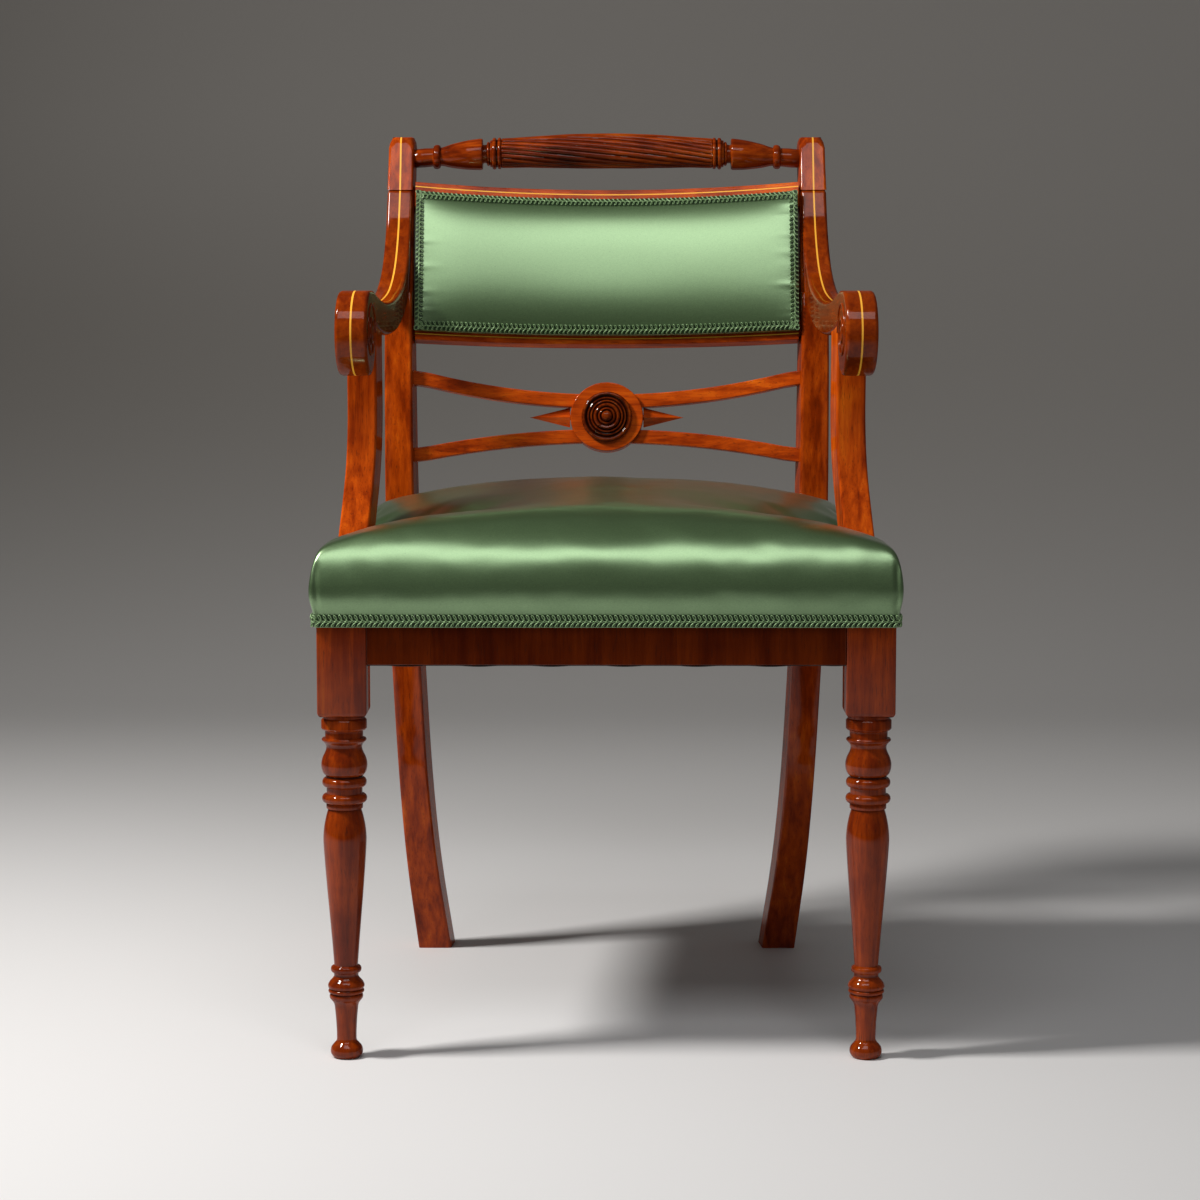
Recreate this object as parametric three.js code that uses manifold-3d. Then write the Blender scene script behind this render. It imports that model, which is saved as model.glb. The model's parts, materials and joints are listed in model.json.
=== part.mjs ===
// An open armchair of the Regency period: turned front legs, sabre back legs that run up into the
// back posts, sweeping arms that end in scrolls, a turned top rail, a padded back panel, and a
// splat of two curved bars with a roundel and two spear points. The seat is stuffed over its rails.
// Millimetres. X is to the sitter's left, Y runs from the front to the back, Z is up.

import * as THREE from 'three';
import { mergeVertices } from 'three/addons/utils/BufferGeometryUtils.js';
import Module from 'manifold-3d';

const wasm = await Module();
wasm.setup();

// Fits shared by every piece.
const gap = 0.3;
const overrun = 20;

// Seat frame.
const frontHalfWidth = 262.5;
const backHalfWidth = 230;
const legSquare = 45;
const seatDepth = 385;
const railTop = 436;
const railHeight = 68;
const railThickness = 24;
const tenonThickness = 10;
const tenonShoulder = 10;
const tenonLength = 20;
const backRailSetback = 8;
const backTenonLength = 12;

// Front legs.
const legBlockLength = 116;
const legBlockChamfer = 3;
const legBlockEase = 5;
const legRadius = 21;
const legSides = 16;

// Back posts.
const postHeight = 866;
const postWidth = 30;
const postFootWidth = 35;
const postTopWidth = 26.6;
const postDepth = 40;
const postFootDepth = 34;
const postTopDepth = 27;
const footSweep = 72.5;
const topSweep = 101;
const footInset = 30;
const topFlare = 2.8;
const postTopRound = 7;

// Arms and their supports.
const armJointDrop = 56;
const armNotch = 8;
const armFront = 48.5;
const armWidth = 30;
const armTopWidth = 26.6;
const scrollRadius = 39.5;
const scrollTighten = 6;
const supportSetback = 3.5;
const supportTopDepth = 37;
const supportWidth = 28;
const supportForward = 36;
const supportFootDepth = 44;
const dowelRadius = 5;
const dowelLength = 12;

// Turned top rail.
const topRailDrop = 22.5;
const topRailArch = 8;
const topRailRadius = 18.5;
const topRailSides = 16;
const topDowelRadius = 9.5;
const topDowelLength = 10;

// Bowed back: panel rails, cross bars and roundel.
const backBow = 25;
const panelDrop = 51;
const panelTopRailHeight = 26;
const panelBottomRailHeight = 28;
const panelRailDepth = 22;
const panelRailSetback = 2;
const panelTenonLength = 10;
const panelTenonShoulder = 4;
const barDepth = 13;
const barHeight = 14.5;
const barTenonLength = 8;
const upperBarLift = 16.75;
const lowerBarDrop = 19.75;
const roundelHalfWidth = 38.2;
const roundelHalfHeight = 36.2;
const roundelProud = 6;
const roundelBacking = 3;
const bossRadius = 26.5;
const bossRise = 11;
const bossPinRadius = 4;
const bossPinLength = 4;
const spearLength = 42;
const spearHeight = 21;
const spearThickness = 10;
const spearTenonLength = 6;
const spearTenonThickness = 5;

// Seat upholstery.
const webThickness = 1.6;
const webWidth = 50;
const webEndInset = 4;
const softClearance = 2;
const hessianThickness = 1;
const coverThickness = 1.2;
const coverDrop = 34;
const gimpHeight = 13;
const gimpThickness = 2.4;
const seatBulge = 5.5;
const seatRollRise = 44;
const seatCrownRise = 38;
const seatCornerRadius = 26;
const dustClothThickness = 1.2;
const dustClothInset = 5;

// Back upholstery.
const backPadEdge = 5;
const backPadCrown = 11;
const outsideBackBorder = 1;
const backCoverThickness = 1.2;
const outsideBackThickness = 1.2;
const backGimpWidth = 9;

// Glue blocks and screws.
const blockHeight = 38;
const blockDrop = 12;
const blockReach = 58;
const screwRadius = 2.2;
const screwHeadRadius = 4.2;
const screwHeadLength = 3.5;
const screwLength = 42;
const armScrewLength = 42;

// Places up the back: shares of the way from the top of the seat frame to the top of the posts.
const lowerBarShare = 0.209;
const roundelShare = 0.324;
const upperBarShare = 0.398;
const panelBottomShare = 0.501;
const armHollowShare = 0.599;

// How far the arms splay, as a share of what the front legs stand wider than the posts, and how
// much of a full turn the scroll makes.
const armSplayShare = 0.8;
const scrollTurnShare = 0.765;

// Rows of the post's outline: share of its height, then shares of the foot's sweep, the top's
// sweep, the foot's inset, the top's flare, and of the way from the seat's section to the ends'.
const postShares = [
  [0, 1, 0, 1, 0, 1, 0],
  [0.11, 0.62, 0, 0.62, 0, 0.45, 0],
  [0.22, 0.317, 0, 0.38, 0, 0.1, 0],
  [0.361, 0.083, 0, 0.187, 0, 0, 0],
  [0.44, 0.014, 0, 0.1, 0, 0, 0],
  [0.508, 0, 0, 0.04, 0, 0, 0],
  [0.577, 0, 0.03, 0, 0.1, 0, 0.1],
  [0.658, 0, 0.129, 0, 0.45, 0, 0.25],
  [0.739, 0, 0.267, 0, 0.8, 0, 0.4],
  [0.82, 0, 0.465, 0, 1, 0, 0.65],
  [0.9, 0, 0.703, 0, 1, 0, 0.9],
  [0.958, 0, 0.881, 0, 0.9, 0, 1],
  [1, 0, 1, 0, 0.75, 0, 1],
];

// Arm outline: shares of the reach from the post's face at that height to the scroll's front, and
// of the rise from the hollow to the joint.
const armTopShares = [
  [0, 1], [0.01, 0.614], [0.06, 0.313], [0.16, 0.124], [0.285, 0.039],
  [0.441, 0], [0.6, 0.009], [0.733, 0.056], [0.825, 0.1],
];
const armUnderShares = [
  [0.789, -0.175], [0.726, -0.219], [0.59, -0.266], [0.453, -0.275],
  [0.293, -0.245], [0.164, -0.167], [0.066, -0.056], [0, 0.082],
];

// Arm support: share of its height, then shares of its forward sweep and of its outward flare.
const supportShares = [
  [0, 1, 1], [0.11, 0.85, 0.82], [0.228, 0.52, 0.55], [0.347, 0.2, 0.28],
  [0.457, 0.05, 0.1], [0.593, 0, 0], [0.776, 0.06, 0], [0.913, 0.1, 0], [1, 0.1, 0],
];

// Turned front leg, from the floor up to the block: shares of its height and of its radius.
const legTurningShares = [
  [0, 0.5], [0.006, 0.56], [0.009, 0.66], [0.02, 0.715], [0.032, 0.68], [0.043, 0.55], [0.047, 0.45],
  [0.052, 0.41], [0.1, 0.455], [0.145, 0.515], [0.155, 0.56], [0.167, 0.6], [0.178, 0.74],
  [0.2, 0.81], [0.225, 0.76], [0.238, 0.57], [0.247, 0.57], [0.25, 0.65], [0.259, 0.675],
  [0.268, 0.65], [0.272, 0.535], [0.35, 0.61], [0.46, 0.71], [0.52, 0.78], [0.59, 0.895],
  [0.642, 0.935], [0.69, 0.89], [0.722, 0.76], [0.729, 0.7], [0.73, 0.8], [0.745, 0.81],
  [0.747, 0.93], [0.757, 0.985], [0.767, 0.93], [0.769, 0.78], [0.79, 0.79], [0.796, 0.93],
  [0.807, 0.97], [0.817, 0.92], [0.82, 0.83], [0.835, 0.92], [0.853, 0.99], [0.873, 0.93],
  [0.892, 0.76], [0.898, 0.73], [0.911, 0.74], [0.913, 0.92], [0.923, 0.97], [0.934, 0.92],
  [0.936, 0.83], [0.957, 0.84], [0.962, 0.97], [0.97, 1], [0.985, 1], [0.99, 0.95], [1, 0.95],
];

// Turned top rail, from its middle to its end: shares of its half length and of its radius.
const topRailShares = [
  [0, 1], [0.14, 0.985], [0.28, 0.945], [0.42, 0.88], [0.55, 0.84], [0.553, 0.87], [0.568, 0.89],
  [0.572, 0.8], [0.579, 0.8], [0.583, 0.88], [0.597, 0.9], [0.61, 0.88], [0.614, 0.78],
  [0.622, 0.87], [0.63, 0.7], [0.648, 0.72], [0.652, 0.87], [0.7, 0.84], [0.78, 0.72],
  [0.84, 0.57], [0.867, 0.51], [0.87, 0.6], [0.88, 0.68], [0.893, 0.7], [0.905, 0.6],
  [0.907, 0.5], [0.95, 0.52], [1, 0.5],
];

// Domed boss of the roundel, from its rim to its centre: shares of its radius and of its rise.
const bossShares = [
  [1, 0], [1, 0.2], [0.95, 0.36], [0.86, 0.42], [0.83, 0.3], [0.79, 0.3], [0.76, 0.46],
  [0.68, 0.58], [0.6, 0.54], [0.57, 0.4], [0.52, 0.42], [0.49, 0.62], [0.41, 0.76], [0.33, 0.66],
  [0.3, 0.52], [0.22, 0.58], [0.19, 0.82], [0.14, 0.96], [0, 1],
];

// Seat side wall, from the hem up to the roll: shares of the bulge, of the height, of the rounding.
const seatWallShares = [
  [0, 0, 0], [0.35, 0.2, 0.05], [1, 0.5, 0.2], [0.75, 0.69, 0.35], [-0.2, 0.87, 0.6], [-1.6, 1, 0.85],
];
const seatDomeShares = [0.95, 0.88, 0.77, 0.62, 0.4];
const domePowers = { across: 2.2, over: 0.7 };

const mahogany = new THREE.MeshStandardMaterial({ color: 0x7a2c12, roughness: 0.25, metalness: 0 });
const darkMahogany = new THREE.MeshStandardMaterial({ color: 0x4a1a10, roughness: 0.25, metalness: 0 });
const beech = new THREE.MeshStandardMaterial({ color: 0xb58a5c, roughness: 0.6, metalness: 0 });
const satin = new THREE.MeshStandardMaterial({ color: 0x5a8250, roughness: 0.35, metalness: 0 });
const braid = new THREE.MeshStandardMaterial({ color: 0x3d6b3a, roughness: 0.8, metalness: 0 });
const canvas = new THREE.MeshStandardMaterial({ color: 0xb9a27c, roughness: 0.9, metalness: 0 });
const dustCloth = new THREE.MeshStandardMaterial({ color: 0x141414, roughness: 0.95, metalness: 0 });
const steel = new THREE.MeshStandardMaterial({ color: 0x9a9a96, roughness: 0.4, metalness: 1 });

const chair = new THREE.Group();

function add(name, geometry, material) {
  const mesh = new THREE.Mesh(geometry, material);
  mesh.name = name;
  chair.add(mesh);
}

// Reads a column of a table of shares at any place between its rows, along a smooth curve.
function tableAt(table, column, share) {
  const last = table.length - 2;
  let row = 0;
  while (row < last && share > table[row + 1][0]) row += 1;
  const [before, start, end, after] = [row - 1, row, row + 1, row + 2].map(
    (index) => table[Math.min(Math.max(index, 0), table.length - 1)],
  );
  const span = end[0] - start[0];
  const slope = (low, high) => (high[column] - low[column]) / (high[0] - low[0]);
  const startSlope = start === before ? slope(start, end) : slope(before, end);
  const endSlope = end === after ? slope(start, end) : slope(start, after);
  const t = (share - start[0]) / span;
  const square = t * t;
  const cube = square * t;
  return (
    start[column] * (2 * cube - 3 * square + 1) +
    end[column] * (3 * square - 2 * cube) +
    startSlope * span * (cube - 2 * square + t) +
    endSlope * span * (cube - square)
  );
}

// Turns a geometry inside out when its faces point inwards.
function facingOut(geometry) {
  const point = geometry.attributes.position;
  const index = geometry.index;
  const corner = [0, 1, 2].map(() => new THREE.Vector3());
  let volume = 0;
  for (let i = 0; i < index.count; i += 3) {
    corner.forEach((vector, j) => vector.fromBufferAttribute(point, index.getX(i + j)));
    volume += corner[0].dot(corner[1].cross(corner[2]));
  }
  if (volume < 0) index.array.reverse();
  return geometry;
}

function solidOf(geometry) {
  const bare = geometry.clone();
  bare.deleteAttribute('normal');
  bare.deleteAttribute('uv');
  const merged = facingOut(mergeVertices(bare));
  const vertProperties = Float32Array.from(merged.attributes.position.array);
  const triVerts = Uint32Array.from(merged.index.array);
  return new wasm.Manifold(new wasm.Mesh({ numProp: 3, vertProperties, triVerts }));
}

function geometryOf(solid) {
  const mesh = solid.getMesh();
  const geometry = new THREE.BufferGeometry();
  geometry.setAttribute('position', new THREE.BufferAttribute(mesh.vertProperties, 3));
  geometry.setIndex(new THREE.BufferAttribute(mesh.triVerts, 1));
  geometry.computeVertexNormals();
  return geometry;
}

// Skins a row of rings that have equally many [x, y, z] points. The ends are closed, or joined.
function loft(rings, joined = false) {
  const count = rings[0].length;
  const geometry = new THREE.BufferGeometry();
  geometry.setAttribute('position', new THREE.Float32BufferAttribute(rings.flat(2), 3));
  const index = [];
  const spans = joined ? rings.length : rings.length - 1;
  for (let r = 0; r < spans; r += 1) {
    const next = (r + 1) % rings.length;
    for (let i = 0; i < count; i += 1) {
      const j = (i + 1) % count;
      const [a, b, c, d] = [r * count + i, r * count + j, next * count + j, next * count + i];
      index.push(a, b, c, a, c, d);
    }
  }
  if (!joined) {
    const end = (rings.length - 1) * count;
    for (let i = 1; i < count - 1; i += 1) {
      index.push(0, i + 1, i);
      index.push(end, end + i, end + i + 1);
    }
  }
  geometry.setIndex(index);
  return solidOf(geometry);
}

function block([x0, x1], [y0, y1], [z0, z1]) {
  const box = new THREE.BoxGeometry(Math.abs(x1 - x0), Math.abs(y1 - y0), Math.abs(z1 - z0));
  box.translate((x0 + x1) / 2, (y0 + y1) / 2, (z0 + z1) / 2);
  return solidOf(box);
}

// A turning about Z, from rows of [radius, height] that start and end on the axis.
function turning(rows, sides) {
  const profile = rows.map(([radius, height]) => new THREE.Vector2(radius, height));
  const lathe = new THREE.LatheGeometry(profile, sides);
  lathe.rotateX(Math.PI / 2);
  return solidOf(lathe);
}

function rod(radius, from, to, sides = 12) {
  const start = new THREE.Vector3(...from);
  const along = new THREE.Vector3(...to).sub(start);
  const cylinder = new THREE.CylinderGeometry(radius, radius, along.length(), sides);
  cylinder.translate(0, along.length() / 2, 0);
  const up = new THREE.Vector3(0, 1, 0);
  cylinder.applyQuaternion(new THREE.Quaternion().setFromUnitVectors(up, along.normalize()));
  cylinder.translate(...from);
  return solidOf(cylinder);
}

// An upright board sawn to a plan outline of [x, y] points.
function planBoard(outline, [z0, z1]) {
  const shape = new THREE.Shape(outline.map(([x, y]) => new THREE.Vector2(x, y)));
  const board = new THREE.ExtrudeGeometry(shape, { depth: z1 - z0, bevelEnabled: false });
  board.translate(0, 0, z0);
  return solidOf(board);
}

const mirror = (solid) => solid.mirror([1, 0, 0]);

// Adds a piece made for the sitter's left, at positive X, and its mirror image.
function addPair(name, solid, material) {
  add(`${name}_left`, geometryOf(solid), material);
  add(`${name}_right`, geometryOf(mirror(solid)), material);
}

// Seat plan. The side rails run straight from the front legs to the posts.
const legBack = legSquare / 2;
const frontFace = -legSquare / 2;
const legInside = frontHalfWidth - legSquare;
const railTaper = (frontHalfWidth - backHalfWidth) / (seatDepth - legBack);
const railBottom = railTop - railHeight;
const railOutside = (y) => frontHalfWidth - (y - legBack) * railTaper;
const railInside = (y) => railOutside(y) - railThickness;
const tenonHeights = [railBottom + tenonShoulder, railTop - tenonShoulder];

// Heights that follow the seat frame and the posts.
const coverHem = railTop - coverDrop;
const seatRoll = railTop + seatRollRise;
const upBack = (share) => railTop + (postHeight - railTop) * share;
const armJointHeight = postHeight - armJointDrop;
const armHollowHeight = upBack(armHollowShare);
const topRailHeight = postHeight - topRailDrop;
const panelTop = postHeight - panelDrop;
const panelBottom = upBack(panelBottomShare);
const roundelHeight = upBack(roundelShare);

// Back posts: front face, section and centre at any height.
const postAt = (column, z) => tableAt(postShares, column, z / postHeight);
const postFront = (z) => seatDepth + footSweep * postAt(1, z) + topSweep * postAt(2, z);
const seatCentre = backHalfWidth - postWidth / 2;
const postCentre = (z) => seatCentre - footInset * postAt(3, z) + topFlare * postAt(4, z);
const blend = (seat, foot, top, z) => (
  seat + (foot - seat) * postAt(5, z) + (top - seat) * postAt(6, z)
);
const widthAt = (z) => blend(postWidth, postFootWidth, postTopWidth, z);
const depthAt = (z) => blend(postDepth, postFootDepth, postTopDepth, z);
const postInside = (z) => postCentre(z) - widthAt(z) / 2;
const postMiddle = (z) => postFront(z) + depthAt(z) / 2;

function postRing(z, round) {
  const front = postFront(z) + round;
  const back = postFront(z) + depthAt(z) - round;
  const inside = postInside(z) + round / 2;
  const outside = postCentre(z) + widthAt(z) / 2 - round / 2;
  const shift = (y) => (y - postFront(z)) * railTaper;
  return [
    [inside - shift(front), front, z],
    [outside - shift(front), front, z],
    [outside - shift(back), back, z],
    [inside - shift(back), back, z],
  ];
}

const postRows = 36;
const postRings = Array.from({ length: postRows }, (_, row) => (
  postRing((postHeight - postTopRound) * (row / (postRows - 1)), 0)
));
for (const share of [0.5, 0.85, 1]) {
  const round = postTopRound * (1 - Math.sqrt(1 - share * share));
  postRings.push(postRing(postHeight - postTopRound * (1 - share), round));
}
let post = loft(postRings);

// Arms: one outline sawn from a board, in the plane of Y and Z, notched over the post's face.
const armJoint = postFront(armJointHeight);
const armReach = armJoint - armFront;
const armRise = armJointHeight - armHollowHeight;
function armPoint({ x: reachShare, y: riseShare }) {
  const z = armHollowHeight + armRise * riseShare;
  const face = postFront(z);
  return new THREE.Vector2(face - (face - armFront) * reachShare, z);
}
const armCurve = (shares, steps) => (
  new THREE.SplineCurve(shares.map(([reach, rise]) => new THREE.Vector2(reach, rise)))
    .getPoints(steps).map(armPoint)
);
const scrollCentre = armFront + scrollRadius;
const armTopside = armHollowHeight + armRise * armTopShares.at(-1)[1];
const scrollHeight = armTopside - scrollRadius;
const scrollTurn = 2 * Math.PI * scrollTurnShare;

function armOutline() {
  const steps = 28;
  const top = armCurve(armTopShares, steps);
  const scroll = [];
  const turnSteps = 26;
  for (let step = 0; step <= turnSteps; step += 1) {
    const turn = (scrollTurn * step) / turnSteps;
    const tightening = Math.max(0, (turn - Math.PI) / (scrollTurn - Math.PI));
    const radius = scrollRadius - scrollTighten * tightening;
    scroll.push(new THREE.Vector2(
      scrollCentre - radius * Math.sin(turn),
      scrollHeight + radius * Math.cos(turn),
    ));
  }
  const under = armCurve(armUnderShares, steps);
  const low = under.at(-1);
  const back = [0, 0.25, 0.5, 0.75, 1].map((share) => {
    const z = low.y + (armJointHeight - low.y) * share;
    return new THREE.Vector2(postFront(z) + armNotch, z);
  });
  return [...top, ...scroll, ...under, ...back];
}

const armShape = armOutline();
const armWay = (y) => (armJoint - y) / armReach;
const armSplay = (frontHalfWidth - legBack - postCentre(armJointHeight)) * armSplayShare;
const armCentre = (y) => postCentre(armJointHeight) + armSplay * armWay(y);
const armWidthAt = (y) => armTopWidth + (armWidth - armTopWidth) * armWay(y);

// The arm's outline as a solid, widened and moved back or up to cut what it joins.
function armSolid(extra, [dy, dz]) {
  const board = new THREE.ExtrudeGeometry(new THREE.Shape(armShape), {
    depth: 1, bevelEnabled: false,
  });
  const point = board.attributes.position;
  for (let i = 0; i < point.count; i += 1) {
    const [y, z, way] = [point.getX(i), point.getY(i), point.getZ(i) - 1 / 2];
    point.setXYZ(i, armCentre(y) + way * (armWidthAt(y) + extra), y + dy, z + dz);
  }
  return solidOf(board);
}

let arm = armSolid(0, [0, 0]);
for (const shift of [[gap, gap], [gap, -gap], [0, 0], [-armNotch, 0]]) {
  post = post.subtract(armSolid(overrun, shift));
}

// Screw through the post into the arm.
const armLow = armHollowHeight + armRise * armUnderShares.at(-1)[1];
const armScrewHeight = armLow + (armJointHeight - armLow) / 4;
const armScrewHead = postFront(armScrewHeight) + depthAt(armScrewHeight) - screwHeadLength;

// A screw along a direction, and the hole that it needs.
function screw(head, direction, length) {
  const along = new THREE.Vector3(...direction).normalize();
  const place = (distance) => along.clone().multiplyScalar(distance)
    .add(new THREE.Vector3(...head)).toArray();
  const solid = rod(screwRadius, place(0), place(length), 8)
    .add(rod(screwHeadRadius, place(0), place(screwHeadLength), 10));
  const hole = rod(screwRadius + gap, place(0), place(length + gap), 8)
    .add(rod(screwHeadRadius + gap, place(-overrun), place(screwHeadLength + gap), 10));
  return { solid, hole };
}

const armScrew = screw(
  [armCentre(armJoint), armScrewHead, armScrewHeight], [0, -1, 0], armScrewLength,
);
post = post.subtract(armScrew.hole);
arm = arm.subtract(armScrew.hole);

// Arm supports, sawn to an S and flared out at the foot, with a dowel up into the arm.
const armUnderside = armHollowHeight + armRise * armUnderShares[0][1];
const supportHeight = (armUnderside + armTopside) / 2 - railTop;
const supportFront = armFront + 2 * scrollRadius + supportSetback;
const supportFrontAt = (share) => supportFront - supportForward * tableAt(supportShares, 1, share);
const footMiddle = supportFrontAt(0) + supportFootDepth / 2;
const railMiddle = (railOutside(footMiddle) + railInside(footMiddle)) / 2;
const supportTopX = armCentre(supportFront);
const supportCentreAt = (share) => (
  supportTopX + (railMiddle - supportTopX) * tableAt(supportShares, 2, share)
);
const supportDepthAt = (share) => (
  supportTopDepth + (supportFootDepth - supportTopDepth) * tableAt(supportShares, 2, share)
);

function supportRing(share) {
  const front = supportFrontAt(share);
  const back = front + supportDepthAt(share);
  const centre = supportCentreAt(share);
  const half = supportWidth / 2;
  const lean = (back - front) * railTaper;
  const z = railTop + gap + supportHeight * share;
  return [
    [centre - half, front, z],
    [centre + half, front, z],
    [centre + half - lean, back, z],
    [centre - half - lean, back, z],
  ];
}

const supportRows = 20;
const supportRings = Array.from({ length: supportRows }, (_, row) => (
  supportRing(row / (supportRows - 1))
));
const dowelX = supportCentreAt(1);
const dowelY = supportFrontAt(1) + supportTopDepth / 2;
const supportDowel = (extra) => rod(
  dowelRadius + extra,
  [dowelX, dowelY, armUnderside - dowelLength],
  [dowelX, dowelY, armUnderside + dowelLength + extra],
);
let support = loft(supportRings).subtract(armSolid(overrun, [0, -gap])).add(supportDowel(0));
arm = arm.subtract(supportDowel(gap));

const footTenon = (extra) => {
  const half = tenonThickness / 2 + extra;
  const long = supportFootDepth / 2 - tenonShoulder + extra;
  return block(
    [railMiddle - half, railMiddle + half],
    [footMiddle - long, footMiddle + long],
    [railTop - tenonLength - extra, railTop + tenonShoulder],
  );
};
support = support.add(footTenon(0));

// Front legs: a square block for the mortises above a turned column.
const blockBottom = railTop - legBlockLength;
function legRing(z, inset) {
  const half = legSquare / 2 - inset;
  const middle = frontHalfWidth - legSquare / 2;
  return [
    [middle - half, -half, z], [middle + half, -half, z],
    [middle + half, half, z], [middle - half, half, z],
  ];
}
const legBlock = loft([
  legRing(blockBottom, legBlockChamfer),
  legRing(blockBottom + legBlockEase, 0),
  legRing(railTop, 0),
]);
const legColumn = turning([
  [0, 0],
  ...legTurningShares.map(([height, radius]) => [legRadius * radius, blockBottom * height]),
  [legRadius * legTurningShares.at(-1)[1], blockBottom + legBlockEase],
  [0, blockBottom + legBlockEase],
], legSides).translate([frontHalfWidth - legSquare / 2, 0, 0]);
let leg = legBlock.add(legColumn);

// Seat rails, each with a tenon at both ends; a socket is the same tenon grown by the gap.
const frontRailBack = frontFace + railThickness;
const frontTenonY = [frontFace + tenonShoulder, frontFace + tenonShoulder + tenonThickness];
const grow = ([low, high], extra) => [low - extra, high + extra];
const frontTenon = (extra) => block(
  grow([-legInside - tenonLength, legInside + tenonLength], extra),
  grow(frontTenonY, extra),
  grow(tenonHeights, extra),
);
let frontRail = block(
  [-legInside + gap, legInside - gap], [frontFace, frontRailBack], [railBottom, railTop],
).add(frontTenon(0));
leg = leg.subtract(frontTenon(gap));

const postFaceAtRail = Math.min(postFront(railBottom), postFront(railTop));
function sideTenon(extra) {
  const from = legBack - tenonLength - extra;
  const to = postFaceAtRail + tenonLength + extra;
  const outer = (y) => railOutside(y) - (railThickness - tenonThickness) / 2 + extra;
  const inner = (y) => outer(y) - tenonThickness - 2 * extra;
  return planBoard(
    [[inner(from), from], [outer(from), from], [outer(to), to], [inner(to), to]],
    grow(tenonHeights, extra),
  );
}
const sideFrom = legBack + gap;
const sideTo = postFaceAtRail - gap;
let sideRail = planBoard([
  [railInside(sideFrom), sideFrom], [railOutside(sideFrom), sideFrom],
  [railOutside(sideTo), sideTo], [railInside(sideTo), sideTo],
], [railBottom, railTop]).add(sideTenon(0));
leg = leg.subtract(sideTenon(gap));
post = post.subtract(sideTenon(gap));
sideRail = sideRail.subtract(footTenon(gap));

const backRailY = [seatDepth + backRailSetback, seatDepth + backRailSetback + railThickness];
const backRailEnd = (z) => postInside(z) - (backRailY[1] - seatDepth) * railTaper - gap;
const backRailHalf = Math.min(backRailEnd(railBottom), backRailEnd(railTop));
const backTenonY = [backRailY[0] + tenonThickness / 2, backRailY[0] + 3 * tenonThickness / 2];
const backTenon = (extra) => block(
  grow([-backRailHalf - backTenonLength, backRailHalf + backTenonLength], extra),
  grow(backTenonY, extra),
  grow(tenonHeights, extra),
);
let backRail = block([-backRailHalf, backRailHalf], backRailY, [railBottom, railTop])
  .add(backTenon(0));
post = post.subtract(backTenon(gap));

// Glue blocks in the four corners, each screwed to the two rails that it joins.
const blockZ = [railTop - blockDrop - blockHeight, railTop - blockDrop];
const blockMiddle = (blockZ[0] + blockZ[1]) / 2;
const frontBlockSide = legBack + blockReach;
const frontBlockY = frontRailBack + gap;
let frontBlock = planBoard([
  [legInside - gap, frontBlockY],
  [legInside - blockReach, frontBlockY],
  [railInside(frontBlockSide) - gap, frontBlockSide],
  [railInside(legBack) - gap, legBack + gap],
  [legInside - gap, legBack + gap],
], blockZ);
const rearBlockSide = postFaceAtRail - blockReach;
let rearBlock = planBoard([
  [railInside(rearBlockSide) - gap, rearBlockSide],
  [backRailHalf - blockReach, backRailY[0] - gap],
  [postInside(railBottom) - 2 * gap, backRailY[0] - gap],
  [postInside(railBottom) - 2 * gap, postFaceAtRail - gap],
  [railInside(postFaceAtRail) - gap, postFaceAtRail - gap],
], blockZ);

const frontScrewX = legInside - blockReach / 4;
const sideScrewStart = railInside(legBack) - blockReach / 2;
const rearScrewX = backRailHalf - blockReach / 4;
const screws = {
  front_rail_screw: screw([frontScrewX, legBack + gap, blockMiddle], [0, -1, 0], screwLength),
  front_side_screw: screw(
    [sideScrewStart, legBack + blockReach / 4, blockMiddle + blockHeight / 4], [1, 0, 0], screwLength,
  ),
  back_side_screw: screw(
    [railInside(postFaceAtRail) - blockReach / 2, postFaceAtRail - blockReach / 4,
      blockMiddle + blockHeight / 4], [1, 0, 0], screwLength,
  ),
  back_rail_screw: screw(
    [rearScrewX, postFaceAtRail - blockReach / 4, blockMiddle - blockHeight / 4], [0, 1, 0],
    screwLength,
  ),
};
for (const { hole } of Object.values(screws)) {
  frontBlock = frontBlock.subtract(hole);
  rearBlock = rearBlock.subtract(hole);
  sideRail = sideRail.subtract(hole);
  frontRail = frontRail.subtract(hole).subtract(mirror(hole));
  backRail = backRail.subtract(hole).subtract(mirror(hole));
}

// Turned top rail, arched, with a dowel at each end in the posts.
const topRailY = postMiddle(topRailHeight);
const topRailEnd = postInside(topRailHeight) - (topRailY - postFront(topRailHeight)) * railTaper - gap;
const topRailLift = (x) => topRailArch * (1 - Math.min(1, (x / topRailEnd) ** 2));
function topRailSolid() {
  const half = topRailShares.map(([way, radius]) => [topRailRadius * radius, topRailEnd * way]);
  const dowel = topRailEnd + topDowelLength;
  const rows = [
    ...half, [topDowelRadius, topRailEnd], [topDowelRadius, dowel], [0, dowel],
  ];
  const other = rows.slice(1).map(([radius, x]) => [radius, -x]).reverse();
  return turning([...other, ...rows], topRailSides).rotate([0, 90, 0]).warp((point) => {
    point[1] += topRailY;
    point[2] += topRailHeight + topRailLift(point[0]);
  });
}
const topRail = topRailSolid();
const topReach = topRailEnd + topDowelLength + gap;
post = post.subtract(rod(
  topDowelRadius + gap,
  [topRailEnd - overrun, topRailY, topRailHeight], [topReach, topRailY, topRailHeight], 20,
));

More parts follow.
